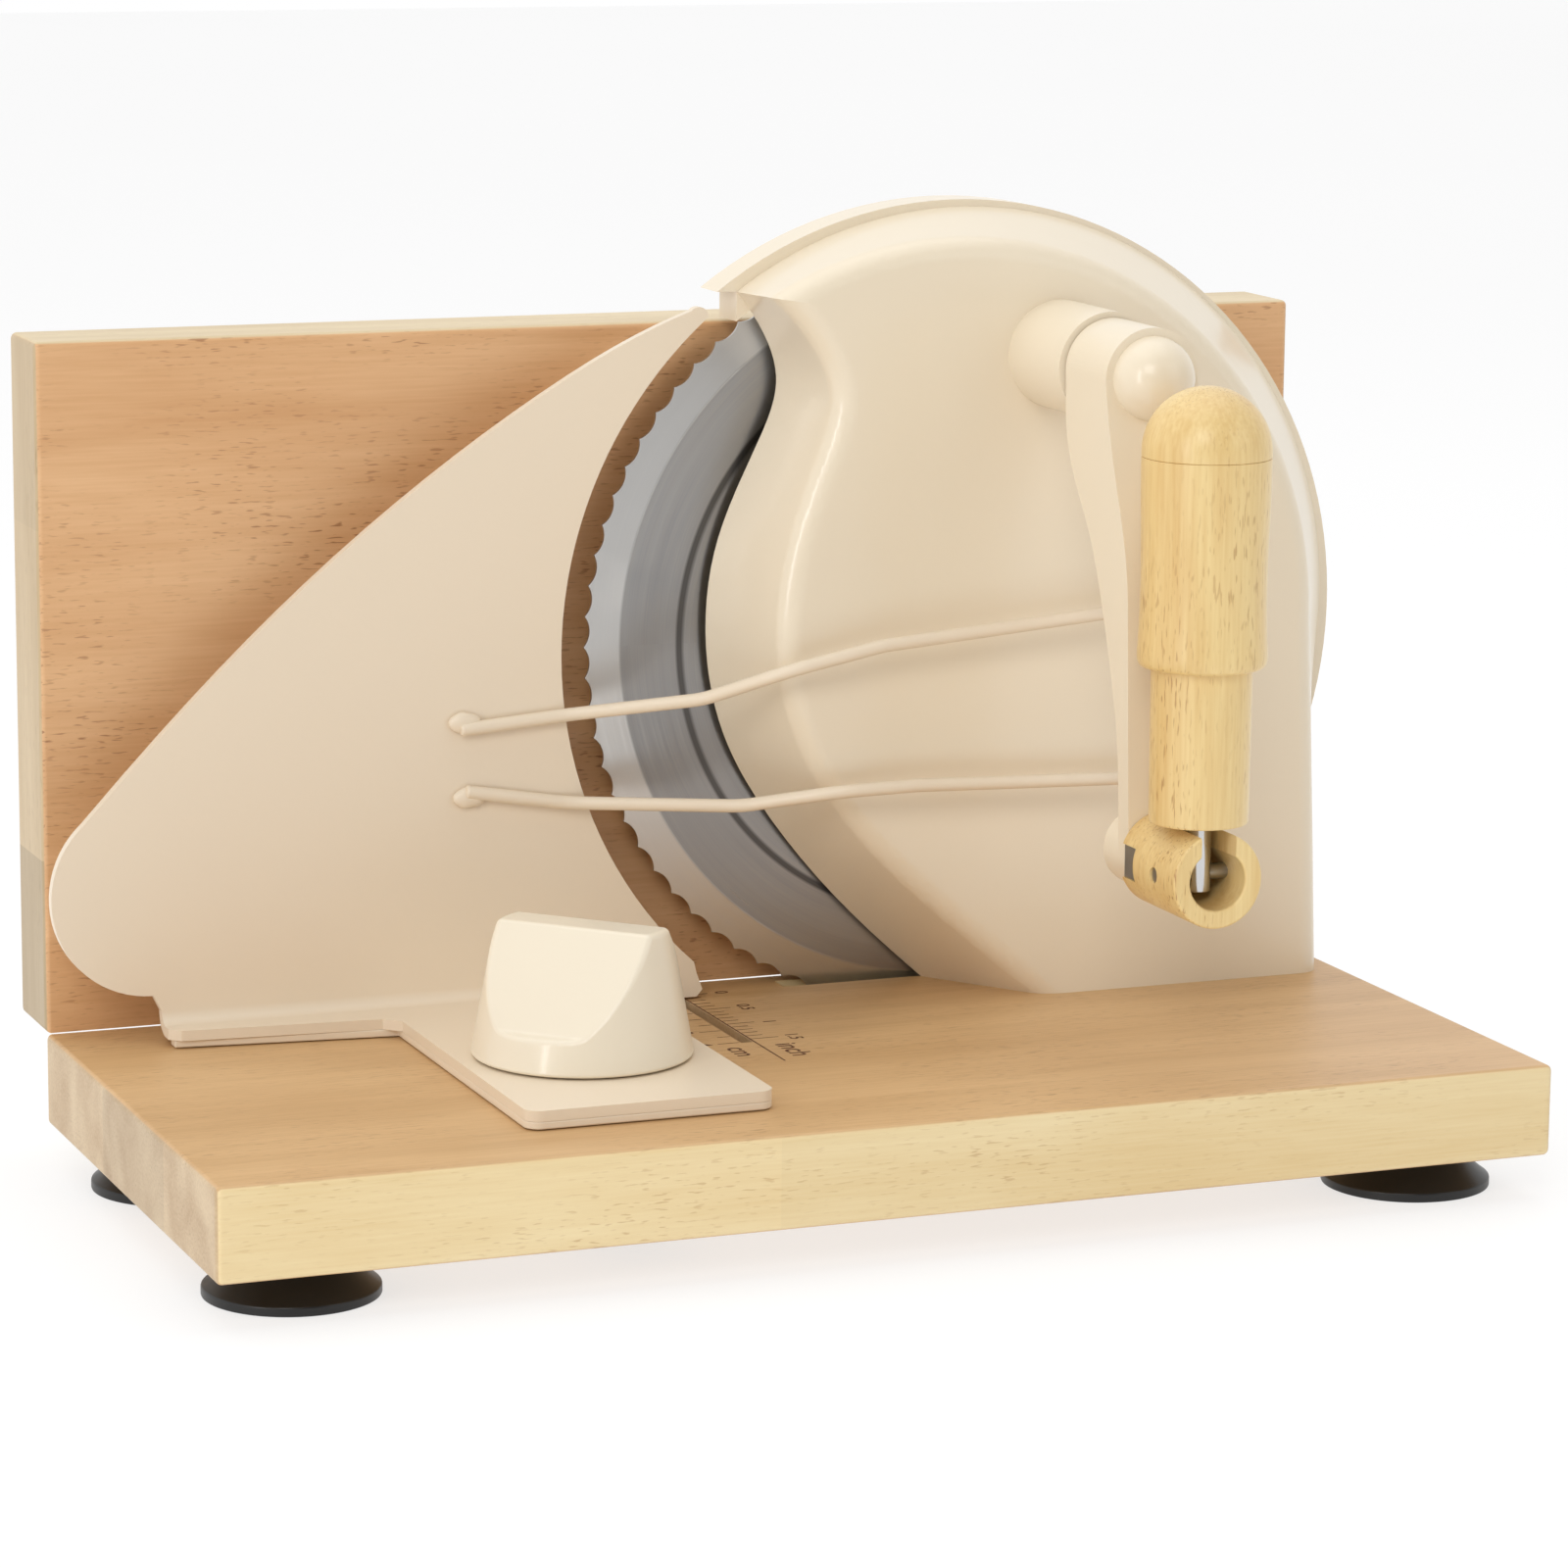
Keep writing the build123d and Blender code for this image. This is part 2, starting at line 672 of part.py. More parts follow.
# ---------------------------------------------------------------- gear cover
with BuildPart() as gear_cover:
    with BuildSketch(upright(cover_back)):
        with Locations((blade_x, blade_z)):
            Circle(gear_module * blade_gear_teeth / 2 + 4.5)
        with Locations((crank_x, crank_z)):
            Circle(gear_module * drive_gear_teeth / 2 + 2.8)
        with Locations(*post_places):
            Circle(post_radius + 1.4)
        make_hull()
        with Locations((blade_x, blade_z)):
            Circle(blade_hub_radius + 1.0, mode=Mode.SUBTRACT)
        with Locations(*post_places):
            Circle(cover_screw_radius, mode=Mode.SUBTRACT)
    extrude(amount=cover_thickness)
save(gear_cover.part, "gear_cover")

with BuildPart() as cover_screws:
    for post_x, post_z in post_places:
        spot = Plane((post_x, cover_back + 1.2, post_z), z_dir=(0, -1, 0))
        add(spot.location * screw_solid(cover_screw_radius, 9.0, 2.4, 1.2))
save(cover_screws.part, "cover_screws")

case_screw_start = base_top - case_screw_grip - case_screw_head_height
with BuildPart() as case_screws:
    for screw_x, screw_y in case_screw_places:
        case_screw = screw_solid(
            case_screw_radius,
            case_screw_grip + 14.0,
            case_screw_head_radius,
            case_screw_head_height,
        )
        add(Pos(screw_x, screw_y, case_screw_start) * case_screw)
save(case_screws.part, "case_screws")

# ---------------------------------------------------------------- crank
with BuildPart() as shaft_bush:
    with BuildSketch(upright(shaft_boss_back)):
        with Locations((crank_x, crank_z)):
            Circle(bush_radius)
            Circle(shaft_radius + running_gap, mode=Mode.SUBTRACT)
    extrude(amount=shaft_boss_back - boss_front_y)
save(shaft_bush.part, "shaft_bush")

shaft_back = drive_hub_back + 0.4
shaft_front = hub_front_y + 1.5
with BuildPart() as crank_shaft:
    with BuildSketch(upright(shaft_back)):
        with Locations((crank_x, crank_z)):
            Circle(shaft_radius)
    extrude(amount=shaft_back - shaft_front)
    with Locations(Plane((crank_x, (gear_back + gear_front) / 2, crank_z), z_dir=(1, 0, 0))):
        Cylinder(1.0, 2 * drive_hub_radius, mode=Mode.SUBTRACT)
save(crank_shaft.part, "crank_shaft")

grub_screw_y = hub_back_y - hub_length / 3
with BuildPart() as crank_arm:
    # tapering bar seen from the front, trimmed to its side view
    with BuildSketch(upright(hub_back_y)):
        with Locations((crank_x, crank_z)):
            Circle(hub_radius)
        with Locations((crank_x, handle_z)):
            Circle(arm_end_radius)
        make_hull()
    extrude(amount=hub_back_y - arm_front_y)
    with BuildSketch(across(crank_x - 2 * hub_radius)):
        with BuildLine():
            rear = Spline(
                (hub_back_y, crank_z - hub_radius),
                (hub_back_y - 9.5, crank_z - 0.32 * arm_length),
                (arm_front_y + 8.6, crank_z - 0.58 * arm_length),
                (arm_front_y + arm_tip_depth, handle_z + 1.7 * arm_end_radius),
                tangents=[(-0.1, -1), (0, -1)],
            )
            Polyline(
                rear @ 1,
                (arm_front_y + arm_tip_depth, handle_z - 2 * arm_end_radius),
                (arm_front_y, handle_z - 2 * arm_end_radius),
                (arm_front_y, crank_z - 0.46 * arm_length),
            )
            front = Spline(
                (arm_front_y, crank_z - 0.46 * arm_length),
                (hub_front_y - 4.0, crank_z - 0.2 * arm_length),
                (hub_front_y, crank_z),
                tangents=[(0, 1), (0.1, 1)],
            )
            Line(front @ 1, (hub_front_y, crank_z + 2 * hub_radius))
            Line((hub_front_y, crank_z + 2 * hub_radius), (hub_back_y, crank_z + 2 * hub_radius))
            Line((hub_back_y, crank_z + 2 * hub_radius), rear @ 0)
        make_face()
    extrude(amount=4 * hub_radius, mode=Mode.INTERSECT)
    # round end that carries the handle
    with BuildSketch(upright(arm_front_y + arm_end_length)):
        with Locations((crank_x, handle_z)):
            Circle(arm_end_radius)
    extrude(amount=arm_end_length)
    # domed nose in front of the hub
    with BuildSketch(Plane((crank_x, hub_front_y, crank_z), x_dir=(1, 0, 0), z_dir=(0, 0, 1))):
        with BuildLine():
            nose_side = (nose_radius * cos(radians(45)), -nose_radius * sin(radians(45)))
            nose_tip = (nose_radius * cos(radians(87)), -nose_radius * sin(radians(87)))
            ThreePointArc((nose_radius, 0), nose_side, nose_tip)
            Polyline(nose_tip, (0, nose_tip[1]), (0, 2.0), (nose_radius, 2.0), (nose_radius, 0))
        make_face()
    revolve(axis=Axis((crank_x, hub_front_y, crank_z), (0, 1, 0)))
    with BuildSketch(upright(hub_back_y)):
        with Locations((crank_x, crank_z)):
            Circle(shaft_radius)
    extrude(amount=hub_back_y - shaft_front, mode=Mode.SUBTRACT)
    with BuildSketch(upright(arm_front_y + arm_end_length)):
        with Locations((crank_x, handle_z)):
            Circle(2.0)
    extrude(amount=arm_end_length, mode=Mode.SUBTRACT)
    with Locations(Plane((crank_x, grub_screw_y, crank_z), z_dir=(1, 0, 0))):
        Cylinder(2.0, 2 * hub_radius, align=rising, mode=Mode.SUBTRACT)
save(crank_arm.part, "crank_arm")

with BuildPart() as grub_screw:
    with Locations(Plane((crank_x + shaft_radius, grub_screw_y, crank_z), z_dir=(1, 0, 0))):
        Cylinder(2.0, hub_radius - shaft_radius - 1.0, align=rising)
    with BuildSketch(across(crank_x + hub_radius - 1.0)):
        with Locations((grub_screw_y, crank_z)):
            RegularPolygon(1.1, 6)
    extrude(amount=-1.5, mode=Mode.SUBTRACT)
save(grub_screw.part, "grub_screw")

# ---------------------------------------------------------------- folding handle
knuckle_bore_depth = knuckle_radius + 5.0
knuckle_screw_head = 2.6
knuckle_screw_head_radius = 4.0
knuckle_screw_room = 4.0
key_length = 5.6
key_height = 6.4
key_thickness = 1.6

with BuildPart() as knuckle_barrel:
    with BuildSketch(upright(knuckle_back_y)):
        with Locations((crank_x, handle_z)):
            Circle(knuckle_radius)
    extrude(amount=knuckle_length)
    with BuildSketch(upright(knuckle_front_y + knuckle_bore_depth)):
        with Locations((crank_x, handle_z)):
            Circle(knuckle_bore_radius)
    extrude(amount=knuckle_bore_depth, mode=Mode.SUBTRACT)
    with BuildSketch(upright(knuckle_front_y + knuckle_bore_depth + knuckle_screw_room)):
        with Locations((crank_x, handle_z)):
            Circle(knuckle_screw_head_radius + 0.2)
    extrude(amount=knuckle_screw_room, mode=Mode.SUBTRACT)
    with BuildSketch(upright(knuckle_back_y)):
        with Locations((crank_x, handle_z)):
            Circle(2.0)
    extrude(amount=knuckle_length, mode=Mode.SUBTRACT)
    # open slot in which the rod swings from upright to level
    slot_length = knuckle_radius + rod_slot_width / 2
    with Locations((crank_x, knuckle_front_y + slot_length / 2, handle_z + knuckle_radius / 2)):
        Box(rod_slot_width, slot_length, knuckle_radius, mode=Mode.SUBTRACT)
    front_rim = knuckle_barrel.faces().sort_by(Axis.Y)[0].outer_wire().edges()
    fillet(front_rim.filter_by(GeomType.CIRCLE), radius=0.6)
    with Locations(Plane((crank_x, fold_y, handle_z), z_dir=(1, 0, 0))):
        Cylinder(fold_pin_radius, 3 * knuckle_radius, mode=Mode.SUBTRACT)
    with Locations((crank_x - knuckle_radius, knuckle_back_y - key_length / 2, handle_z)):
        Box(5.0, key_length, key_height, mode=Mode.SUBTRACT)
save(knuckle_barrel.part, "knuckle_barrel")

with BuildPart() as knuckle_key:
    key_x = crank_x - knuckle_radius + 2.5 - key_thickness / 2
    with Locations((key_x, knuckle_back_y - key_length / 2, handle_z)):
        Box(key_thickness, key_length, key_height)
save(knuckle_key.part, "knuckle_key")

knuckle_seat_y = knuckle_front_y + knuckle_bore_depth + knuckle_screw_room
knuckle_screw_spot = Plane((crank_x, knuckle_seat_y - knuckle_screw_head, handle_z), z_dir=(0, 1, 0))
knuckle_screw_form = screw_solid(2.0, 17.0, knuckle_screw_head_radius, knuckle_screw_head)
knuckle_screw = knuckle_screw_spot.location * knuckle_screw_form
save(knuckle_screw, "knuckle_screw")

with BuildPart() as fold_pin:
    with Locations(Plane((crank_x, fold_y, handle_z), z_dir=(1, 0, 0))):
        Cylinder(fold_pin_radius, 2 * knuckle_radius - 0.8)
save(fold_pin.part, "fold_pin")

rod_end = 3.4
rod_nut_bottom = grip_top_z - grip_cap_length
with BuildPart() as grip_rod:
    with BuildSketch(level(handle_z - rod_end)):
        with Locations((crank_x, fold_y)):
            Circle(rod_radius)
    extrude(amount=rod_nut_bottom + rod_nut_height + 1.0 - handle_z + rod_end)
    with Locations(Plane((crank_x, fold_y, handle_z), z_dir=(1, 0, 0))):
        Cylinder(fold_pin_radius + running_gap, 4 * rod_radius, mode=Mode.SUBTRACT)
save(grip_rod.part, "grip_rod")

with BuildPart() as rod_nut:
    with BuildSketch(level(rod_nut_bottom)):
        with Locations((crank_x, fold_y)):
            RegularPolygon(rod_nut_radius, 6)
            Circle(rod_radius, mode=Mode.SUBTRACT)
    extrude(amount=rod_nut_height)
save(rod_nut.part, "rod_nut")

grip_seam_z = grip_top_z - grip_cap_length
# the grip's lower end is dished, so that it clears the barrel's rim as it folds
with BuildPart() as grip_body:
    with BuildSketch(Plane((crank_x, fold_y, grip_bottom_z), x_dir=(1, 0, 0), z_dir=(0, -1, 0))):
        shoulder = 3.4
        with BuildLine():
            Polyline(
                (rod_radius + running_gap, grip_dish_depth),
                (rod_radius + 1.0, grip_dish_depth),
                (grip_dish_radius, 0),
                (grip_neck_radius - 0.2, 0),
                (grip_neck_radius, 0.5),
                (grip_neck_radius + 0.15, grip_neck_length),
                (grip_radius - 0.9, grip_neck_length + 0.2),
            )
            Spline(
                (grip_radius - 0.9, grip_neck_length + 0.2),
                (grip_radius, grip_neck_length + shoulder),
                (grip_radius, grip_length - grip_cap_length),
                tangents=[(1, 0.3), (0, 1)],
            )
            Polyline(
                (grip_radius, grip_length - grip_cap_length),
                (rod_nut_radius + 0.8, grip_length - grip_cap_length),
                (rod_nut_radius + 0.8, grip_length - grip_cap_length - side_gap),
                (rod_radius + running_gap, grip_length - grip_cap_length - side_gap),
                (rod_radius + running_gap, grip_dish_depth),
            )
        make_face()
    revolve(axis=Axis((crank_x, fold_y, 0), (0, 0, 1)))
save(grip_body.part, "grip_body")

with BuildPart() as grip_cap:
    with BuildSketch(Plane((crank_x, fold_y, grip_seam_z), x_dir=(1, 0, 0), z_dir=(0, -1, 0))):
        nut_room = rod_nut_radius + 0.8
        nut_room_height = rod_nut_height + 1.6
        with BuildLine():
            dome_z = grip_cap_length - grip_radius
            dome_side = (grip_radius * cos(radians(45)), dome_z + grip_radius * sin(radians(45)))
            dome_tip = (grip_radius * cos(radians(87)), dome_z + grip_radius * sin(radians(87)))
            Polyline((nut_room, 0), (grip_radius, 0), (grip_radius, dome_z))
            ThreePointArc((grip_radius, dome_z), dome_side, dome_tip)
            Polyline(dome_tip, (0, dome_tip[1]), (0, nut_room_height), (nut_room, nut_room_height))
            Line((nut_room, nut_room_height), (nut_room, 0))
        make_face()
    revolve(axis=Axis((crank_x, fold_y, 0), (0, 0, 1)))
save(grip_cap.part, "grip_cap")

# ---------------------------------------------------------------- slice guide
wing_edge_radius = blade_radius + wing_blade_gap
wing_top_z = 66.4
wing_tip = (blade_x - sqrt(wing_edge_radius**2 - (wing_top_z - 2.0) ** 2), blade_z + wing_top_z - 2.0)
wing_foot_z = base_top + 0.6
wing_foot_x = blade_x - sqrt(wing_edge_radius**2 - (blade_z - wing_foot_z - 7.0) ** 2)
round_x = base_left + wing_round_x
round_z = base_top + wing_round_z
round_end = (
    round_x + wing_round_radius * cos(radians(132)),
    round_z + wing_round_radius * sin(radians(132)),
)
bend_outer = bend_radius + sheet

with BuildPart() as guide_plate:
    with BuildSketch(upright(wing_y + sheet)):
        with BuildLine():
            ThreePointArc(
                (base_left + flange_left - 1.6, round_z - wing_round_radius + 0.1),
                (round_x - wing_round_radius, round_z),
                round_end,
            )
            Spline(
                round_end,
                (base_left + 45.8, base_top + 84.2),
                (base_left + 96.5, base_top + 121.4),
                (wing_tip[0] - 3.5, wing_tip[1] + 1.2),
                tangents=[(0.66, 0.72), (1.0, 0.36)],
            )
            ThreePointArc(
                (wing_tip[0] - 3.5, wing_tip[1] + 1.2),
                (wing_tip[0] - 0.4, wing_tip[1] + 1.1),
                wing_tip,
            )
            ThreePointArc(wing_tip, (blade_x - wing_edge_radius, blade_z), (wing_foot_x, wing_foot_z + 7.0))
            Polyline(
                (wing_foot_x, wing_foot_z + 7.0),
                (wing_foot_x + 0.6, wing_foot_z + 4.6),
                (wing_foot_x + 1.8, wing_foot_z + 1.4),
                (wing_foot_x + 0.6, wing_foot_z),
                (base_left + tab_right + bend_outer, wing_foot_z),
                (base_left + tab_right, wing_foot_z + 2.0),
                (base_left + tab_right, tab_top_z + bend_radius),
                (base_left + flange_left, tab_top_z + bend_radius),
                (base_left + flange_left - 1.6, round_z - wing_round_radius + 0.1),
            )
        make_face()
    extrude(amount=sheet)
    # bend and level flange along the wing's foot, running out into the tab
    with BuildSketch(across(base_left + flange_left)):
        with Locations((wing_y - bend_radius, tab_top_z + bend_radius)):
            Circle(bend_outer)
            Circle(bend_radius, mode=Mode.SUBTRACT)
            Rectangle(bend_outer, bend_outer, align=(Align.MIN, Align.MAX), mode=Mode.INTERSECT)
    extrude(amount=tab_right - flange_left)
    with BuildSketch(level(tab_bottom_z)) as tab_outline:
        with BuildLine():
            Polyline(
                (base_left + flange_left, wing_y - bend_radius),
                (base_left + flange_left, wing_y - flange_depth + 2.0),
                (base_left + flange_left + 2.0, wing_y - flange_depth),
                (base_left + tab_left - 3.0, wing_y - flange_depth - 3.5),
                (base_left + tab_left, wing_y - flange_depth - 6.5),
                (base_left + tab_left, base_front + tab_front),
                (base_left + tab_right, base_front + tab_front),
                (base_left + tab_right, wing_y - bend_radius),
                (base_left + flange_left, wing_y - bend_radius),
            )
        make_face()
    extrude(amount=sheet)
    tab_corners = guide_plate.edges().filter_by(Axis.Z).group_by(Axis.Y)[0]
    fillet(tab_corners, radius=tab_corner_radius)
    with BuildSketch(level(tab_bottom_z)):
        with Locations((base_left + knob_x, base_front + knob_y)):
            Circle(clamp_bolt_radius)
    extrude(amount=sheet, mode=Mode.SUBTRACT)
save(guide_plate.part, "guide_plate")

with BuildPart() as tab_pad:
    with BuildSketch(level(tab_bottom_z - pad_thickness)):
        with BuildLine():
            Polyline(
                (base_left + flange_left + 1.0, wing_y - bend_radius),
                (base_left + flange_left + 1.0, wing_y - flange_depth + 1.0),
                (base_left + tab_left, wing_y - flange_depth - 4.0),
                (base_left + tab_left, base_front + tab_front),
                (base_left + tab_right, base_front + tab_front),
                (base_left + tab_right, wing_y - bend_radius),
                (base_left + flange_left + 1.0, wing_y - bend_radius),
            )
        make_face()
        with Locations((base_left + knob_x, base_front + knob_y)):
            Circle(clamp_bolt_radius, mode=Mode.SUBTRACT)
    extrude(amount=pad_thickness)
    pad_corners = tab_pad.edges().filter_by(Axis.Z).group_by(Axis.Y)[0]
    fillet(pad_corners, radius=tab_corner_radius)
save(tab_pad.part, "tab_pad")

with BuildPart() as guide_pin:
    with BuildSketch(level(wing_foot_z)):
        with Locations((base_left + guide_pin_x, wing_y + sheet / 2)):
            Circle(guide_pin_radius)
    extrude(amount=-(wing_foot_z - base_top + guide_pin_depth))
save(guide_pin.part, "guide_pin")


def bent_wire(points, bend):
    """Round wire through the points, bent to the given radius at each corner."""
    with BuildPart() as wire:
        with BuildLine() as path:
            FilletPolyline(*points, radius=bend)
        with BuildSketch(Plane(origin=path.wire() @ 0, z_dir=path.wire() % 0)):
            Circle(wire_radius)
        sweep()
    return wire.part


wire_weld_y = wing_y - wire_radius
wire_end_y = base_front + wire_front
upper_wire = bent_wire(
    [
        (base_left + 78.0, wire_weld_y, base_top + 57.0),
        (base_left + 100.0, wire_weld_y, base_top + 58.7),
        (base_left + 123.0, base_front + 90.7, base_top + 62.4),
        (base_left + 136.0, wire_end_y + 1.6, base_top + 69.0),
        (base_left + 155.0, wire_end_y + 0.5, base_top + 73.1),
        (base_left + wire_end_x, wire_end_y, base_top + 78.0),
    ],
    wire_bend,
)
save(upper_wire, "upper_wire")
lower_wire = bent_wire(
    [
        (base_left + 79.0, wire_weld_y, base_top + 44.9),
        (base_left + 100.0, wire_weld_y, base_top + 41.4),
        (base_left + 131.0, base_front + 90.7, base_top + 41.0),
        (base_left + 146.4, wire_end_y + 1.6, base_top + 44.9),
        (base_left + 162.0, wire_end_y + 0.5, base_top + 45.4),
        (base_left + wire_end_x, wire_end_y, base_top + 44.0),
    ],
    wire_bend,
)
save(lower_wire, "lower_wire")

# ---------------------------------------------------------------- clamp and knob
clamp_head_height = 4.0
clamp_washer_thickness = 1.5
clamp_washer_top = foot_height + clamp_recess_depth - slide_gap
clamp_bolt_top = knob_bottom_z + 0.6 * knob_height
with BuildPart() as clamp_washer:
    with BuildSketch(level(clamp_washer_top - clamp_washer_thickness)):
        with Locations((base_left + knob_x, base_front + knob_y)):
            Rectangle(clamp_head_width, clamp_head_width)
            Circle(clamp_bolt_radius, mode=Mode.SUBTRACT)
    extrude(amount=clamp_washer_thickness)
save(clamp_washer.part, "clamp_washer")

with BuildPart() as clamp_bolt:
    with BuildSketch(level(clamp_washer_top - clamp_washer_thickness - clamp_head_height)):
        with Locations((base_left + knob_x, base_front + knob_y)):
            RegularPolygon(5.8, 6)
    extrude(amount=clamp_head_height)
    with BuildSketch(level(clamp_washer_top - clamp_washer_thickness)):
        with Locations((base_left + knob_x, base_front + knob_y)):
            Circle(clamp_bolt_radius)
    extrude(amount=clamp_bolt_top - clamp_washer_top + clamp_washer_thickness)
save(clamp_bolt.part, "clamp_bolt")

insert_radius = 5.0
insert_height = 10.0
with BuildPart() as knob_insert:
    with BuildSketch(level(knob_bottom_z)):
        with Locations((base_left + knob_x, base_front + knob_y)):
            Circle(insert_radius)
            Circle(clamp_bolt_radius + running_gap, mode=Mode.SUBTRACT)
    extrude(amount=insert_height)
save(knob_insert.part, "knob_insert")

knob_axis = Axis((base_left + knob_x, base_front + knob_y, 0), (0, 0, 1))
knob_frame = Plane(
    (base_left + knob_x, base_front + knob_y, knob_bottom_z),
    x_dir=(cos(radians(knob_turn)), sin(radians(knob_turn)), 0),
    z_dir=(0, 0, 1),
)
knob_section = Plane(knob_frame.origin, x_dir=(1, 0, 0), z_dir=(0, -1, 0))
with BuildPart() as knob:
    with BuildSketch(knob_section):
        with BuildLine():
            Polyline(
                (0, 0),
                (knob_radius - 0.5, 0),
                (knob_radius, 0.5),
                (knob_radius - 4.4, knob_height),
                (0, knob_height),
                (0, 0),
            )
        make_face()
    revolve(axis=knob_axis)
    # slanted flats that leave a bar to turn the knob by
    with BuildSketch(Plane(knob_frame.origin, x_dir=knob_frame.y_dir, z_dir=knob_frame.x_dir)):
        for hand in (-1, 1):
            with BuildLine():
                Polyline(
                    (hand * knob_grip_width / 2, knob_height + 0.1),
                    (hand * (knob_radius - 3.5), knob_band),
                    (hand * (knob_radius + 2.0), knob_band - 1.0),
                    (hand * (knob_radius + 2.0), knob_height + 0.1),
                    (hand * knob_grip_width / 2, knob_height + 0.1),
                )
            make_face()
    extrude(amount=knob_radius * 1.5, both=True, mode=Mode.SUBTRACT)
    bar_bottom_z = knob_bottom_z + knob_band - 2.0
    fillet(knob.edges().filter_by(lambda edge: edge.center().Z > bar_bottom_z), radius=knob_rounding)
    with BuildSketch(level(knob_bottom_z)):
        with Locations((base_left + knob_x, base_front + knob_y)):
            Circle(clamp_bolt_radius + 0.5)
    extrude(amount=clamp_bolt_top - knob_bottom_z + 1.0, mode=Mode.SUBTRACT)
    with BuildSketch(level(knob_bottom_z)):
        with Locations((base_left + knob_x, base_front + knob_y)):
            Circle(insert_radius)
    extrude(amount=insert_height, mode=Mode.SUBTRACT)
save(knob.part, "knob")

# ---------------------------------------------------------------- bread bed and hinges
bed_middle_y = bed_front_y + bed_thickness / 2
bed_back_y = bed_front_y + bed_thickness
bed_screw_y = bed_front_y + leaf_depth * 0.6
bed_foot_places = [
    (base_left + bed_foot_inset, bed_bottom_z + bed_width - bed_foot_inset),
    (base_right - bed_foot_inset, bed_bottom_z + bed_width - bed_foot_inset),
]
with BuildPart() as bed_board:
    with Locations((base_middle_x, bed_middle_y, bed_bottom_z + bed_width / 2)):
        Box(base_length, bed_thickness, bed_width)
    hinge_edge = bed_board.edges().filter_by(Axis.X).sort_by(rear_and_up)[0]
    fillet([edge for edge in bed_board.edges() if edge != hinge_edge], radius=board_edge_radius)
    for hinge_x in hinge_places:
        with BuildSketch(across(hinge_x - hinge_width / 2 - 0.2)):
            with Locations((hinge_y, hinge_z)):
                Circle(hinge_recess)
            with Locations((bed_front_y, bed_bottom_z)):
                Rectangle(leaf_depth, leaf_thickness, align=(Align.MIN, Align.MIN))
        extrude(amount=hinge_width + 0.4, mode=Mode.SUBTRACT)
        with Locations(
            (hinge_x - hinge_screw_spread, bed_screw_y, bed_bottom_z),
            (hinge_x + hinge_screw_spread, bed_screw_y, bed_bottom_z),
        ):
            Cylinder(hinge_screw_radius, hinge_screw_length, align=rising, mode=Mode.SUBTRACT)
    with Locations(*[Plane((x, bed_back_y, z), z_dir=(0, -1, 0)) for x, z in bed_foot_places]):
        Cylinder(1.5, 9.0, align=rising, mode=Mode.SUBTRACT)
save(bed_board.part, "bed_board")

with BuildPart() as bed_feet:
    for foot_x, foot_z in bed_foot_places:
        with BuildSketch(upright(bed_back_y + bed_foot_height)):
            with Locations((foot_x, foot_z)):
                Circle(bed_foot_radius - 1.0)
        with BuildSketch(upright(bed_back_y)):
            with Locations((foot_x, foot_z)):
                Circle(bed_foot_radius)
        loft()
        with BuildSketch(upright(bed_back_y + bed_foot_height)):
            with Locations((foot_x, foot_z)):
                Circle(3.6)
        extrude(amount=2.4, mode=Mode.SUBTRACT)
        with BuildSketch(upright(bed_back_y + bed_foot_height)):
            with Locations((foot_x, foot_z)):
                Circle(1.5)
        extrude(amount=bed_foot_height, mode=Mode.SUBTRACT)
save(bed_feet.part, "bed_feet")

with BuildPart() as bed_foot_screws:
    for foot_x, foot_z in bed_foot_places:
        spot = Plane((foot_x, bed_back_y + bed_foot_height - 0.6, foot_z), z_dir=(0, -1, 0))
        add(spot.location * screw_solid(1.5, bed_foot_height - 0.6 + 8.5, 3.2, 1.8))
save(bed_foot_screws.part, "bed_foot_screws")

barrel_third = hinge_width / 3
with BuildPart() as hinge_base_leaves:
    for hinge_x in hinge_places:
        start_x = hinge_x - hinge_width / 2
        with BuildSketch(across(start_x)):
            with Locations((base_rear - leaf_thickness / 2, base_top - leaf_depth / 2)):
                Rectangle(leaf_thickness, leaf_depth)
            with Locations((hinge_y, hinge_z)):
                Circle(hinge_barrel_radius)
        extrude(amount=hinge_width)
        with BuildSketch(across(start_x + barrel_third - 0.15)):
            with Locations((hinge_y, hinge_z)):
                Circle(hinge_recess)
        extrude(amount=barrel_third + 0.3, mode=Mode.SUBTRACT)
        with BuildSketch(across(start_x)):
            with Locations((hinge_y, hinge_z)):
                Circle(hinge_pin_radius)
        extrude(amount=hinge_width, mode=Mode.SUBTRACT)
        with Locations(
            Plane((hinge_x - hinge_screw_spread, base_rear, hinge_screw_z), z_dir=(0, -1, 0)),
            Plane((hinge_x + hinge_screw_spread, base_rear, hinge_screw_z), z_dir=(0, -1, 0)),
        ):
            Cone(2.6, hinge_screw_radius, leaf_thickness, align=rising, mode=Mode.SUBTRACT)
save(hinge_base_leaves.part, "hinge_base_leaves")

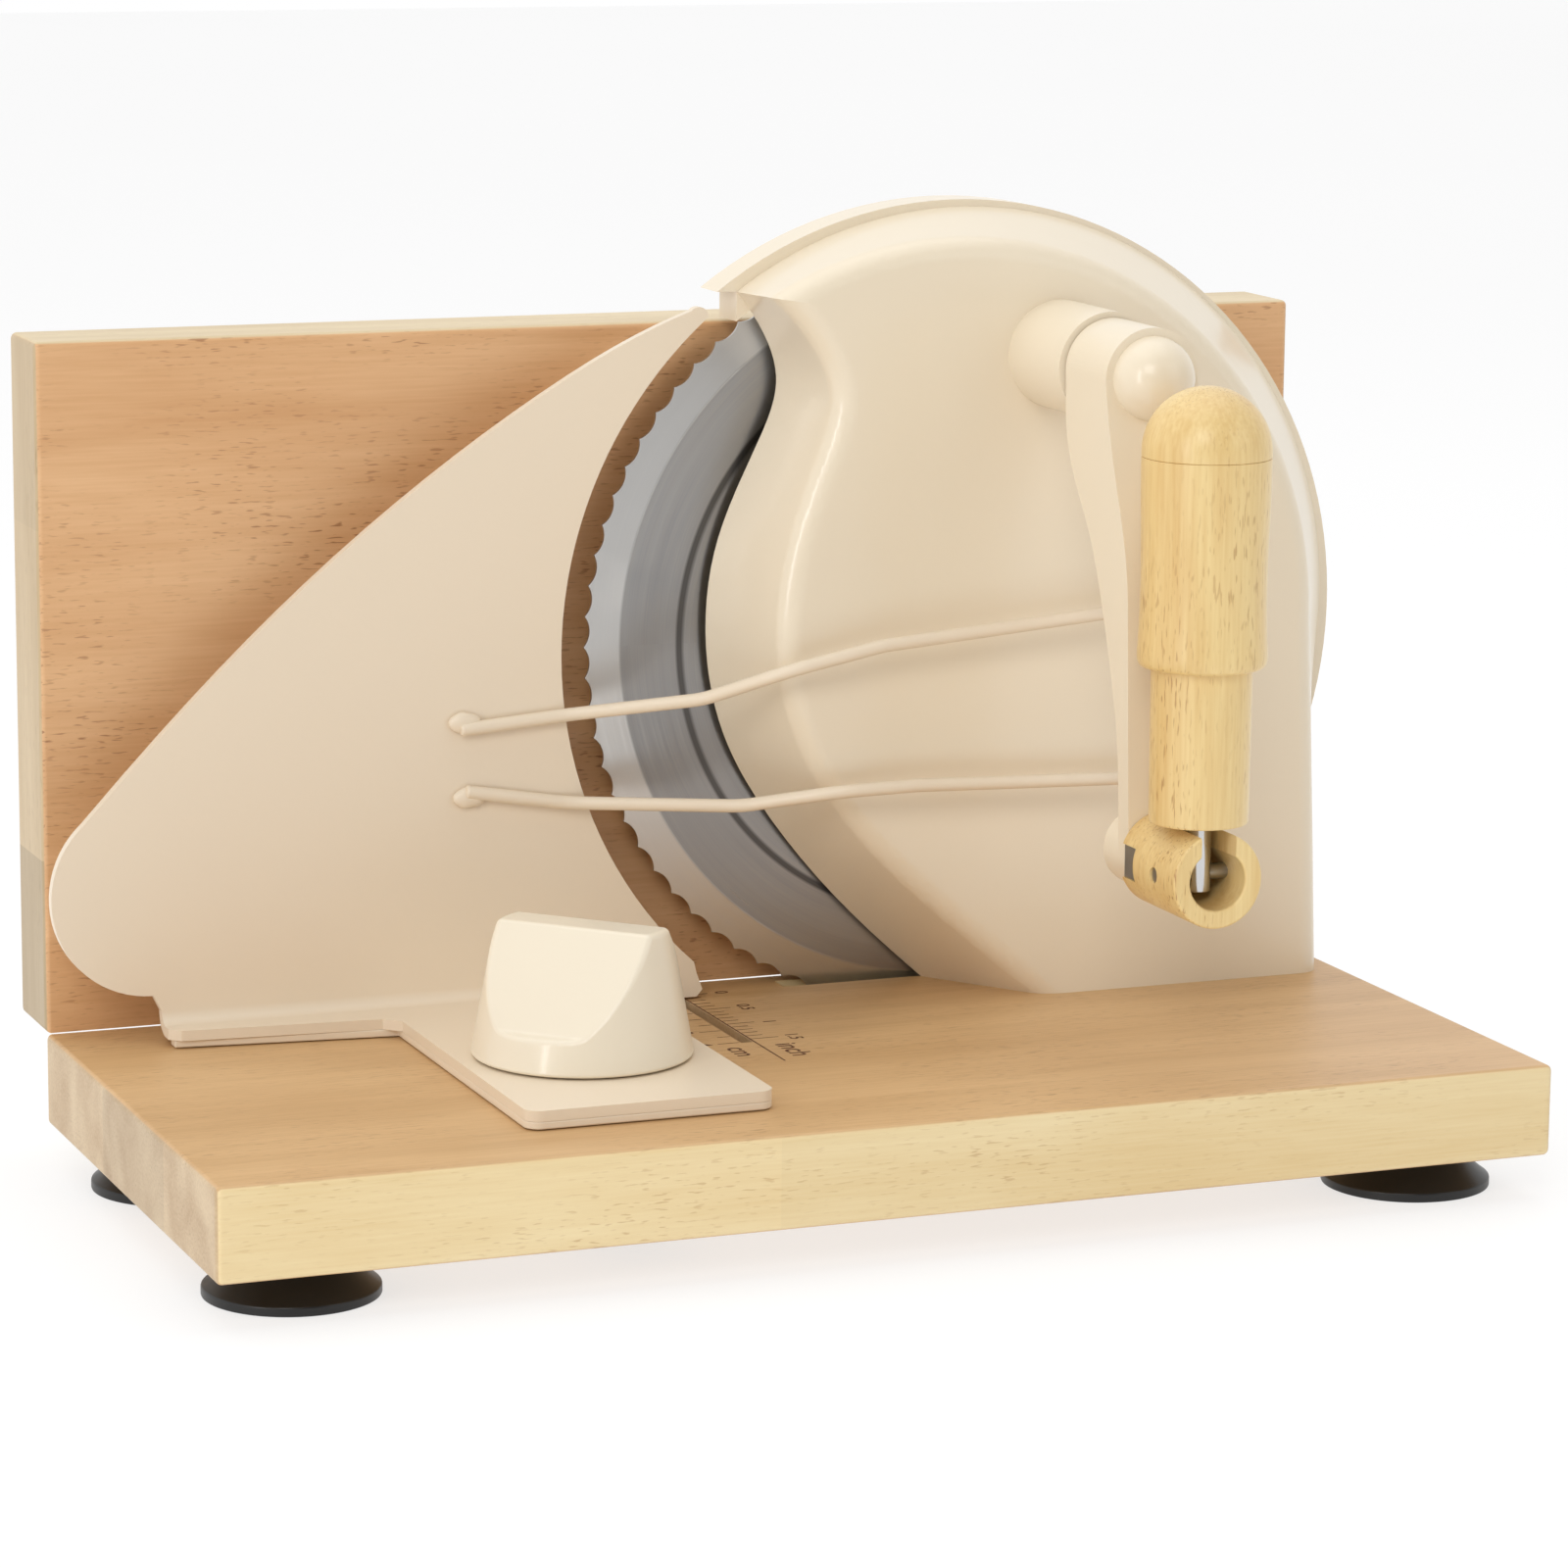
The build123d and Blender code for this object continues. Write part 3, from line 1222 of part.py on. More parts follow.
with BuildPart() as hinge_bed_leaves:
    for hinge_x in hinge_places:
        start_x = hinge_x - hinge_width / 2
        with BuildSketch(across(start_x)):
            with Locations((bed_front_y, bed_bottom_z)):
                Rectangle(leaf_depth, leaf_thickness, align=(Align.MIN, Align.MIN))
            with Locations((hinge_y, hinge_z)):
                Circle(hinge_barrel_radius)
        extrude(amount=hinge_width)
        for side_x in (start_x - 0.15, start_x + 2 * barrel_third - 0.15):
            with BuildSketch(across(side_x)):
                with Locations((hinge_y, hinge_z)):
                    Circle(hinge_recess)
            extrude(amount=barrel_third + 0.3, mode=Mode.SUBTRACT)
        with BuildSketch(across(start_x)):
            with Locations((hinge_y, hinge_z)):
                Circle(hinge_pin_radius + running_gap)
        extrude(amount=hinge_width, mode=Mode.SUBTRACT)
        with Locations(
            (hinge_x - hinge_screw_spread, bed_screw_y, bed_bottom_z),
            (hinge_x + hinge_screw_spread, bed_screw_y, bed_bottom_z),
        ):
            Cone(2.6, hinge_screw_radius, leaf_thickness, align=rising, mode=Mode.SUBTRACT)
save(hinge_bed_leaves.part, "hinge_bed_leaves")

with BuildPart() as hinge_pins:
    for hinge_x in hinge_places:
        with BuildSketch(across(hinge_x - hinge_width / 2)):
            with Locations((hinge_y, hinge_z)):
                Circle(hinge_pin_radius)
        extrude(amount=hinge_width)
save(hinge_pins.part, "hinge_pins")


def countersunk_screw():
    """Small flat-head wood screw for the hinges, along +Z from its head."""
    with BuildPart() as screw:
        with BuildSketch(Plane.XZ):
            with BuildLine():
                Polyline(
                    (0, 0),
                    (2.6, 0),
                    (hinge_screw_radius, leaf_thickness),
                    (hinge_screw_radius, hinge_screw_length - 1.6),
                    (0, hinge_screw_length - 0.2),
                    (0, 0),
                )
            make_face()
        revolve(axis=Axis.Z)
        with BuildSketch(Plane.XY):
            Rectangle(2.6, 0.7)
            Rectangle(0.7, 2.6)
        extrude(amount=0.6, mode=Mode.SUBTRACT)
    return screw.part


with BuildPart() as hinge_base_screws:
    for hinge_x in hinge_places:
        for hand in (-1, 1):
            screw_x = hinge_x + hand * hinge_screw_spread
            spot = Plane((screw_x, base_rear, hinge_screw_z), z_dir=(0, -1, 0))
            add(spot.location * countersunk_screw())
save(hinge_base_screws.part, "hinge_base_screws")

with BuildPart() as hinge_bed_screws:
    for hinge_x in hinge_places:
        for hand in (-1, 1):
            add(Pos(hinge_x + hand * hinge_screw_spread, bed_screw_y, bed_bottom_z) * countersunk_screw())
save(hinge_bed_screws.part, "hinge_bed_screws")
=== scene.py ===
"""Looks of a hand-cranked bread slicer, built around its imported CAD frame.

Every CAD solid is dressed as a smooth-shaded piece with rounded edges and a
procedural material. The printed scale and the wires' weld beads are added on top.
"""

from __future__ import annotations

import json
import logging
import math
from dataclasses import dataclass
from enum import Enum
from typing import Callable, Iterable, Sequence

import bmesh
import bpy
from mathutils import Matrix, Vector

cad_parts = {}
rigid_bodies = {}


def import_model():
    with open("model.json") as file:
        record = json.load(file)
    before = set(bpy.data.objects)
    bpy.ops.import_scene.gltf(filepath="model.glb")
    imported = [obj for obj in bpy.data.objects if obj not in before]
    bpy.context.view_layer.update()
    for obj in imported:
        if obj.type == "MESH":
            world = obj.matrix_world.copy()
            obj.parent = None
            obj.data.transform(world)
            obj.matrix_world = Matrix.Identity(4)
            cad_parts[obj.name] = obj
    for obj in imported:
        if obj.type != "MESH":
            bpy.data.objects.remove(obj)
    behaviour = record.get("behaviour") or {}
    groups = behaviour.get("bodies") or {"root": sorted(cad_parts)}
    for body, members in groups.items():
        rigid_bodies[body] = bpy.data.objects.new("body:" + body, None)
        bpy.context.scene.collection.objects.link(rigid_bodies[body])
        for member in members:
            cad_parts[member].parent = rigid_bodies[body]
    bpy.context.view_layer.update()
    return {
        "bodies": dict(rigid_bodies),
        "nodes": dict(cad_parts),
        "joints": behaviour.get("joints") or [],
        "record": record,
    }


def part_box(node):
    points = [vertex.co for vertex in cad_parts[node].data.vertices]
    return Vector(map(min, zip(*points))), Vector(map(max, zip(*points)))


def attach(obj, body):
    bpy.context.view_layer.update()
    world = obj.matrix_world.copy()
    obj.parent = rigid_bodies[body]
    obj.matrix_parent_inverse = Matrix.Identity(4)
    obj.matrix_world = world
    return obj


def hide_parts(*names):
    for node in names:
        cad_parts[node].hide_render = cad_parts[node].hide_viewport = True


LOG = logging.getLogger("bread_slicer")
MM = 0.001

Colour = tuple[float, float, float, float]
Point = tuple[float, float, float]

COLOUR = "NodeSocketColor"
NUMBER = "NodeSocketFloat"
PLACE = "NodeSocketVector"


def srgb(red: int, green: int, blue: int) -> Colour:
    """Turn an 8-bit display colour into a linear one.

    Args:
        red: Red, 0 to 255.
        green: Green, 0 to 255.
        blue: Blue, 0 to 255.

    Returns:
        The linear colour with alpha 1.
    """

    def channel(value: int) -> float:
        share = value / 255.0
        return share / 12.92 if share <= 0.04045 else ((share + 0.055) / 1.055) ** 2.4

    return (channel(red), channel(green), channel(blue), 1.0)


def grey(level: float) -> Colour:
    """Return a linear grey.

    Args:
        level: Its brightness, 0 to 1.

    Returns:
        The colour with alpha 1.
    """
    return (level, level, level, 1.0)


class Finish(Enum):
    """Kinds of surface on the slicer."""

    BASE_WOOD = "base_wood"
    BED_WOOD = "bed_wood"
    HANDLE_WOOD = "handle_wood"
    ENAMEL = "enamel"
    COATED_SHEET = "coated_sheet"
    KNOB = "knob"
    RUBBER = "rubber"
    BLADE = "blade"
    STEEL = "steel"
    BRIGHT_STEEL = "bright_steel"
    NYLON = "nylon"
    BRASS = "brass"
    INK = "ink"


@dataclass(frozen=True)
class Dress:
    """How one CAD node is dressed.

    Attributes:
        finish: The surface it gets.
        edge_mm: Radius of the rounding on its sharp edges, or 0 for none.
        segments: Steps in that rounding.
        sharp_deg: Edges that bend more than this are sharp.
    """

    finish: Finish
    edge_mm: float = 0.0
    segments: int = 2
    sharp_deg: float = 32.0


DRESSES: dict[str, Dress] = {
    "base_board": Dress(Finish.BASE_WOOD, 0.15, 1),
    "bed_board": Dress(Finish.BED_WOOD, 0.15, 1),
    "foot_front_left": Dress(Finish.RUBBER, 0.25),
    "foot_front_right": Dress(Finish.RUBBER, 0.25),
    "foot_rear_left": Dress(Finish.RUBBER, 0.25),
    "foot_rear_right": Dress(Finish.RUBBER, 0.25),
    "bed_feet": Dress(Finish.RUBBER, 0.4),
    "housing": Dress(Finish.ENAMEL, 0.55, 3, 30.0),
    "guide_plate": Dress(Finish.COATED_SHEET, 0.5, 3),
    "tab_pad": Dress(Finish.COATED_SHEET, 0.3),
    "upper_wire": Dress(Finish.COATED_SHEET, 0.6, 3, 40.0),
    "lower_wire": Dress(Finish.COATED_SHEET, 0.6, 3, 40.0),
    "knob": Dress(Finish.KNOB, 0.3, 2, 40.0),
    "crank_arm": Dress(Finish.ENAMEL, 1.1, 3, 34.0),
    "knuckle_barrel": Dress(Finish.HANDLE_WOOD, 0.35, 2, 40.0),
    "grip_body": Dress(Finish.HANDLE_WOOD, 0.3, 2, 40.0),
    "grip_cap": Dress(Finish.HANDLE_WOOD, 0.25, 2, 40.0),
    "blade": Dress(Finish.BLADE, 0.0, 1, 26.0),
    "grip_rod": Dress(Finish.BRIGHT_STEEL, 0.3, 2, 40.0),
    "knuckle_key": Dress(Finish.STEEL, 0.2),
    "fold_pin": Dress(Finish.STEEL, 0.2, 2, 40.0),
    "blade_gear": Dress(Finish.NYLON, 0.0, 1, 25.0),
    "drive_gear": Dress(Finish.NYLON, 0.0, 1, 25.0),
    "shaft_bush": Dress(Finish.BRASS, 0.2, 2, 40.0),
    "knob_insert": Dress(Finish.BRASS, 0.1, 1, 40.0),
}


@dataclass
class NodeTree:
    """A small helper for laying out shader nodes.

    Attributes:
        tree: The tree that nodes are added to.
        column: How many nodes it has been given.
    """

    tree: bpy.types.NodeTree
    column: int = 0

    def add(self, kind: str, **settings: object) -> bpy.types.Node:
        """Add a node and set its properties.

        Args:
            kind: The node's type name.
            **settings: Properties by name.

        Returns:
            The new node.
        """
        node = self.tree.nodes.new(kind)
        node.location = (self.column * 190, -140 * (self.column % 4))
        self.column += 1
        for name, value in settings.items():
            setattr(node, name, value)
        return node

    def join(self, source: object, target: object) -> None:
        """Connect an output socket to an input socket.

        Args:
            source: The output socket.
            target: The input socket.
        """
        self.tree.links.new(source, target)

    def maths(self, operation: str, first: object, second: object = 0.0) -> object:
        """Add a maths node.

        Args:
            operation: What it works out.
            first: A socket or a number.
            second: A socket or a number.

        Returns:
            Its output socket.
        """
        node = self.add("ShaderNodeMath", operation=operation)
        for slot, value in enumerate((first, second)):
            if isinstance(value, (int, float)):
                node.inputs[slot].default_value = value
            else:
                self.join(value, node.inputs[slot])
        return node.outputs[0]

    def mix(self, factor: object, first: object, second: object) -> object:
        """Mix two colours.

        Args:
            factor: A socket or a number.
            first: Colour or socket at factor 0.
            second: Colour or socket at factor 1.

        Returns:
            The mixed colour's socket.
        """
        node = self.add("ShaderNodeMix", data_type="RGBA")
        ends = (node.inputs[0], node.inputs[6], node.inputs[7])
        for socket, value in zip(ends, (factor, first, second)):
            if isinstance(value, (int, float, tuple)):
                socket.default_value = value
            else:
                self.join(value, socket)
        return node.outputs[2]

    def noise(self, vector: object, scale: Point, detail: float = 2.0, twist: float = 0.0) -> object:
        """Add a stretched noise texture.

        Args:
            vector: Coordinates in metres.
            scale: Frequency along each axis, per metre.
            detail: Octaves.
            twist: Distortion.

        Returns:
            The noise value's socket.
        """
        mapping = self.add("ShaderNodeMapping")
        mapping.inputs["Scale"].default_value = scale
        self.join(vector, mapping.inputs["Vector"])
        noise = self.add("ShaderNodeTexNoise")
        noise.inputs["Scale"].default_value = 1.0
        noise.inputs["Detail"].default_value = detail
        noise.inputs["Distortion"].default_value = twist
        self.join(mapping.outputs[0], noise.inputs["Vector"])
        return noise.outputs["Fac"]

    def span(self, value: object, low: float, high: float) -> object:
        """Map a value so that low becomes 0 and high becomes 1, clamped.

        Args:
            value: The value's socket.
            low: Value that gives 0.
            high: Value that gives 1.

        Returns:
            The mapped value's socket.
        """
        node = self.add("ShaderNodeMapRange")
        node.inputs["From Min"].default_value = low
        node.inputs["From Max"].default_value = high
        self.join(value, node.inputs["Value"])
        return node.outputs[0]


class SharedGroups:
    """Shader node groups that several materials share, each built once."""

    def __init__(self) -> None:
        self.wood = self._group(
            "wood_grain",
            inputs=(
                ("Vector", PLACE), ("Light", COLOUR), ("Dark", COLOUR), ("Fleck", COLOUR),
                ("Fleck Amount", NUMBER),
            ),
            outputs=(("Color", COLOUR), ("Height", NUMBER)),
            build=self._wood,
        )
        self.peel = self._group(
            "orange_peel",
            inputs=(("Vector", PLACE), ("Paint", COLOUR), ("Grain", NUMBER)),
            outputs=(("Color", COLOUR), ("Height", NUMBER), ("Wear", NUMBER)),
            build=self._peel,
        )
        self.rings = self._group(
            "turned_rings",
            inputs=(("Vector", PLACE), ("Metal", COLOUR)),
            outputs=(("Color", COLOUR), ("Roughness", NUMBER), ("Height", NUMBER), ("Radius", NUMBER)),
            build=self._rings,
        )

    @staticmethod
    def _group(
        name: str,
        inputs: Sequence[tuple[str, str]],
        outputs: Sequence[tuple[str, str]],
        build: Callable[[NodeTree, bpy.types.Node, bpy.types.Node], None],
    ) -> bpy.types.NodeTree:
        """Make one node group.

        Args:
            name: The group's name.
            inputs: Name and type of each input.
            outputs: Name and type of each output.
            build: Fills the group, given its helper and its two end nodes.

        Returns:
            The group.
        """
        tree = bpy.data.node_groups.new(name, "ShaderNodeTree")
        for label, kind in inputs:
            tree.interface.new_socket(name=label, in_out="INPUT", socket_type=kind)
        for label, kind in outputs:
            tree.interface.new_socket(name=label, in_out="OUTPUT", socket_type=kind)
        nodes = NodeTree(tree)
        build(nodes, nodes.add("NodeGroupInput"), nodes.add("NodeGroupOutput"))
        return tree

    @staticmethod
    def _wood(nodes: NodeTree, start: bpy.types.Node, end: bpy.types.Node) -> None:
        """Beech: faint bands, fine fibres and short dark flecks, with the grain along X."""
        vector = start.outputs["Vector"]
        bands = nodes.noise(vector, (9.0, 75.0, 75.0), 3.0, 0.6)
        fibres = nodes.noise(vector, (55.0, 1500.0, 1500.0), 2.0)
        flecks = nodes.span(nodes.noise(vector, (300.0, 2100.0, 2100.0), 1.0), 0.60, 0.69)
        patches = nodes.span(nodes.noise(vector, (22.0, 60.0, 60.0), 1.0), 0.35, 0.7)
        broad = nodes.maths("MULTIPLY", bands, 0.75)
        figure = nodes.maths("ADD", broad, nodes.maths("MULTIPLY", fibres, 0.35))
        ground = nodes.mix(nodes.span(figure, 0.38, 0.74), start.outputs["Light"], start.outputs["Dark"])
        amount = nodes.maths("MULTIPLY", flecks, patches)
        amount = nodes.maths("MULTIPLY", amount, start.outputs["Fleck Amount"])
        nodes.join(nodes.mix(amount, ground, start.outputs["Fleck"]), end.inputs["Color"])
        ridges = nodes.maths("MULTIPLY", fibres, 0.5)
        height = nodes.maths("SUBTRACT", ridges, nodes.maths("MULTIPLY", flecks, 0.5))
        nodes.join(height, end.inputs["Height"])

    @staticmethod
    def _peel(nodes: NodeTree, start: bpy.types.Node, end: bpy.types.Node) -> None:
        """Sprayed coat: a pebbled surface with faint tone changes."""
        vector = start.outputs["Vector"]
        fine = nodes.add("ShaderNodeTexNoise")
        fine.inputs["Detail"].default_value = 1.5
        nodes.join(vector, fine.inputs["Vector"])
        nodes.join(start.outputs["Grain"], fine.inputs["Scale"])
        broad = nodes.noise(vector, (14.0, 14.0, 14.0), 2.0)
        tone = nodes.add("ShaderNodeHueSaturation")
        nodes.join(start.outputs["Paint"], tone.inputs["Color"])
        nodes.join(nodes.maths("ADD", nodes.maths("MULTIPLY", broad, 0.05), 0.975), tone.inputs["Value"])
        nodes.join(tone.outputs[0], end.inputs["Color"])
        nodes.join(fine.outputs["Fac"], end.inputs["Height"])
        wear = nodes.maths("ADD", nodes.maths("MULTIPLY", broad, 0.12), 0.18)
        nodes.join(wear, end.inputs["Wear"])

    @staticmethod
    def _rings(nodes: NodeTree, start: bpy.types.Node, end: bpy.types.Node) -> None:
        """Metal turned in circles about the Y axis through the coordinates' origin."""
        parts = nodes.add("ShaderNodeSeparateXYZ")
        nodes.join(start.outputs["Vector"], parts.inputs[0])
        across = nodes.maths("MULTIPLY", parts.outputs["X"], parts.outputs["X"])
        upward = nodes.maths("MULTIPLY", parts.outputs["Z"], parts.outputs["Z"])
        radius = nodes.maths("SQRT", nodes.maths("ADD", across, upward))
        angle = nodes.maths("ARCTAN2", parts.outputs["Z"], parts.outputs["X"])
        polar = nodes.add("ShaderNodeCombineXYZ")
        nodes.join(radius, polar.inputs["X"])
        nodes.join(angle, polar.inputs["Y"])
        fine = nodes.noise(polar.outputs[0], (3800.0, 1.6, 1.0), 3.0)
        coarse = nodes.noise(polar.outputs[0], (420.0, 0.8, 1.0), 2.0)
        ground = nodes.mix(nodes.span(fine, 0.3, 0.75), start.outputs["Metal"], (0.30, 0.30, 0.31, 1.0))
        haze = nodes.maths("MULTIPLY", coarse, 0.35)
        nodes.join(nodes.mix(haze, ground, grey(0.5)), end.inputs["Color"])
        nodes.join(nodes.maths("ADD", nodes.maths("MULTIPLY", fine, 0.22), 0.22), end.inputs["Roughness"])
        nodes.join(fine, end.inputs["Height"])
        nodes.join(radius, end.inputs["Radius"])


class Materials:
    """Builds each material on first use."""

    def __init__(self, blade_centre: Vector, boards: dict[str, tuple[Vector, Vector]]) -> None:
        """Keep what the materials are placed by.

        Args:
            blade_centre: The blade's middle.
            boards: Lowest and highest corner of each board, by node.
        """
        self.groups = SharedGroups()
        self.blade_centre = blade_centre
        self.boards = boards
        self.made: dict[Finish, bpy.types.Material] = {}
        self.makers: dict[Finish, Callable[[NodeTree, bpy.types.Node], None]] = {
            Finish.BASE_WOOD: self._base_wood,
            Finish.BED_WOOD: self._bed_wood,
            Finish.HANDLE_WOOD: self._handle_wood,
            Finish.ENAMEL: lambda nodes, skin: self._coat(
                nodes, skin, srgb(235, 221, 196), grain=620.0, extra=0.10, coat=0.30
            ),
            Finish.COATED_SHEET: lambda nodes, skin: self._coat(
                nodes, skin, srgb(233, 217, 193), grain=760.0, extra=0.20, coat=0.10
            ),
            Finish.KNOB: lambda nodes, skin: self._coat(
                nodes, skin, srgb(236, 225, 203), grain=680.0, extra=0.14, coat=0.30
            ),
            Finish.RUBBER: self._rubber,
            Finish.BLADE: self._blade,
            Finish.STEEL: lambda nodes, skin: self._metal(nodes, skin, srgb(176, 174, 170), 0.34),
            Finish.BRIGHT_STEEL: lambda nodes, skin: self._metal(nodes, skin, srgb(214, 214, 214), 0.16),
            Finish.NYLON: self._nylon,
            Finish.BRASS: lambda nodes, skin: self._metal(nodes, skin, srgb(196, 160, 96), 0.32),
            Finish.INK: self._ink,
        }

    def get(self, finish: Finish) -> bpy.types.Material:
        """Return the material of a finish, building it the first time.

        Args:
            finish: The kind of surface.

        Returns:
            The material.
        """
        if finish not in self.made:
            material = bpy.data.materials.new(finish.value)
            material.use_nodes = True
            nodes = NodeTree(material.node_tree)
            skin = material.node_tree.nodes["Principled BSDF"]
            self.makers[finish](nodes, skin)
            self.made[finish] = material
            LOG.info("material %s", finish.value)
        return self.made[finish]

    @staticmethod
    def _place(nodes: NodeTree, origin: Point = (0.0, 0.0, 0.0), turn: Point = (0.0, 0.0, 0.0)) -> object:
        """Object coordinates measured from a point, and turned.

        Args:
            nodes: The material's nodes.
            origin: The point, in metres.
            turn: Turn about each axis, in degrees.

        Returns:
            The coordinates' socket.
        """
        coordinates = nodes.add("ShaderNodeTexCoord")
        mapping = nodes.add("ShaderNodeMapping", vector_type="TEXTURE")
        mapping.inputs["Location"].default_value = origin
        mapping.inputs["Rotation"].default_value = tuple(math.radians(angle) for angle in turn)
        nodes.join(coordinates.outputs["Object"], mapping.inputs["Vector"])
        return mapping.outputs[0]

    @staticmethod
    def _bump(
        nodes: NodeTree, skin: bpy.types.Node, height: object, strength: float, depth_mm: float
    ) -> None:
        """Give the surface relief.

        Args:
            nodes: The material's nodes.
            skin: Its shader.
            height: The height's socket.
            strength: How strongly it shows.
            depth_mm: Its depth.
        """
        bump = nodes.add("ShaderNodeBump")
        bump.inputs["Strength"].default_value = strength
        bump.inputs["Distance"].default_value = depth_mm * MM
        nodes.join(height, bump.inputs["Height"])
        nodes.join(bump.outputs[0], skin.inputs["Normal"])

    def _grain(
        self, nodes: NodeTree, place: object, light: Colour, dark: Colour, fleck: Colour, amount: float
    ) -> tuple[object, object]:
        """Use the shared wood group.

        Args:
            nodes: The material's nodes.
            place: Coordinates with the grain along X.
            light: Colour of the early wood.
            dark: Colour of the late wood.
            fleck: Colour of the flecks.
            amount: How strongly the flecks show.

        Returns:
            The colour's and the height's sockets.
        """
        group = nodes.add("ShaderNodeGroup", node_tree=self.groups.wood)
        nodes.join(place, group.inputs["Vector"])
        group.inputs["Light"].default_value = light
        group.inputs["Dark"].default_value = dark
        group.inputs["Fleck"].default_value = fleck
        group.inputs["Fleck Amount"].default_value = amount
        return group.outputs["Color"], group.outputs["Height"]

    def _facing(self, nodes: NodeTree) -> dict[str, object]:
        """How much a face of a board points along each axis, 0 or 1.

        Args:
            nodes: The material's nodes.

        Returns:
            A socket for each of x, y and z.
        """
        coordinates = nodes.add("ShaderNodeTexCoord")
        parts = nodes.add("ShaderNodeSeparateXYZ")
        nodes.join(coordinates.outputs["Normal"], parts.inputs[0])
        sides = {}
        for name, output in zip("xyz", parts.outputs):
            sides[name] = nodes.span(nodes.maths("ABSOLUTE", output), 0.60, 0.80)
        return sides

    def _blocks(
        self, nodes: NodeTree, value: object, joints: Sequence[float], tones: Sequence[float]
    ) -> object:
        """Step from tone to tone at each glue joint.

        Args:
            nodes: The material's nodes.
            value: The coordinate that the joints are placed along.
            joints: Places of the joints, in metres, rising.
            tones: One tone more than joints, each a change of brightness.

        Returns:
            The tone's socket.
        """
        tone: object = tones[0]
        for place, before, after in zip(joints, tones, tones[1:]):
            past = nodes.maths("GREATER_THAN", value, place)
            tone = nodes.maths("ADD", tone, nodes.maths("MULTIPLY", past, after - before))
        return tone

    def _finish_board(
        self, nodes: NodeTree, skin: bpy.types.Node, colour: object, tone: object, height: object
    ) -> None:
        """Varnish a board.

        Args:
            nodes: The material's nodes.
            skin: Its shader.
            colour: The wood colour's socket.
            tone: The brightness socket.
            height: The relief's socket.
        """
        shade = nodes.add("ShaderNodeHueSaturation")
        nodes.join(colour, shade.inputs["Color"])
        nodes.join(tone, shade.inputs["Value"])
        nodes.join(shade.outputs[0], skin.inputs["Base Color"])
        skin.inputs["Roughness"].default_value = 0.46
        skin.inputs["Coat Weight"].default_value = 0.12
        skin.inputs["Coat Roughness"].default_value = 0.35
        self._bump(nodes, skin, height, 0.25, 0.06)

    def _base_wood(self, nodes: NodeTree, skin: bpy.types.Node) -> None:
        """Base board: tan top, greyer ends, and long edges pale yellow, partly their own lamella and partly a
        painted highlight from the front light.
        """
        low, high = self.boards["base_board"]
        place = self._place(nodes, tuple(low))
        parts = nodes.add("ShaderNodeSeparateXYZ")
        nodes.join(place, parts.inputs[0])
        sides = self._facing(nodes)
        top, height = self._grain(
            nodes, place, srgb(216, 178, 128), srgb(196, 156, 106), srgb(150, 108, 70), 0.55
        )
        # Long edges: pale yellow, partly a different lamella and partly a painted highlight from the front
        # light.
        edge, _ = self._grain(
            nodes, place, srgb(240, 219, 172), srgb(228, 200, 146), srgb(190, 150, 98), 0.5
        )
        end, _ = self._grain(
            nodes, self._place(nodes, tuple(low), (90.0, 0.0, 0.0)), srgb(206, 182, 146), srgb(176, 146, 108),
            srgb(140, 108, 76), 0.5,
        )
        colour = nodes.mix(sides["x"], nodes.mix(sides["y"], top, edge), end)
        along = self._blocks(nodes, parts.outputs["X"], (0.104,), (1.01, 0.98))
        change = nodes.maths("MULTIPLY", nodes.maths("SUBTRACT", along, 1.0), sides["y"])
        plain = nodes.maths("ADD", change, 1.0)
        blocks = self._blocks(nodes, parts.outputs["Y"], (0.034, 0.076), (1.04, 0.93, 1.05))
        ends = nodes.maths("MULTIPLY", nodes.maths("SUBTRACT", blocks, 1.0), sides["x"])
        self._finish_board(nodes, skin, colour, nodes.maths("ADD", plain, ends), height)

    def _bed_wood(self, nodes: NodeTree, skin: bpy.types.Node) -> None:
        """Bed board: warm beech faces, pale edges, ends in three glued blocks."""
        low, high = self.boards["bed_board"]
        place = self._place(nodes, tuple(low))
        parts = nodes.add("ShaderNodeSeparateXYZ")
        nodes.join(place, parts.inputs[0])
        sides = self._facing(nodes)
        face, height = self._grain(
            nodes, place, srgb(226, 181, 133), srgb(208, 158, 108), srgb(146, 94, 56), 0.85
        )
        edge, _ = self._grain(
            nodes, place, srgb(226, 206, 166), srgb(206, 182, 138), srgb(170, 140, 100), 0.4
        )
        end, _ = self._grain(
            nodes, self._place(nodes, tuple(low), (0.0, 90.0, 0.0)), srgb(206, 184, 148), srgb(186, 160, 120),
            srgb(150, 120, 86), 0.4,
        )
        colour = nodes.mix(sides["x"], nodes.mix(sides["z"], face, edge), end)
        blocks = self._blocks(nodes, parts.outputs["Z"], (0.0334, 0.0965), (0.80, 1.03, 0.97))
        change = nodes.maths("MULTIPLY", nodes.maths("SUBTRACT", blocks, 1.0), sides["x"])
        ends = nodes.maths("ADD", change, 1.0)
        self._finish_board(nodes, skin, colour, ends, height)

    def _handle_wood(self, nodes: NodeTree, skin: bpy.types.Node) -> None:
        """Turned yellow wood with pores along the handle."""
        place = self._place(nodes, (0.0, 0.0, 0.0), (0.0, 90.0, 0.0))
        colour, height = self._grain(
            nodes, place, srgb(236, 209, 148), srgb(216, 178, 112), srgb(166, 116, 62), 0.75
        )
        nodes.join(colour, skin.inputs["Base Color"])
        skin.inputs["Roughness"].default_value = 0.38
        skin.inputs["Coat Weight"].default_value = 0.2
        skin.inputs["Coat Roughness"].default_value = 0.25
        self._bump(nodes, skin, height, 0.3, 0.08)

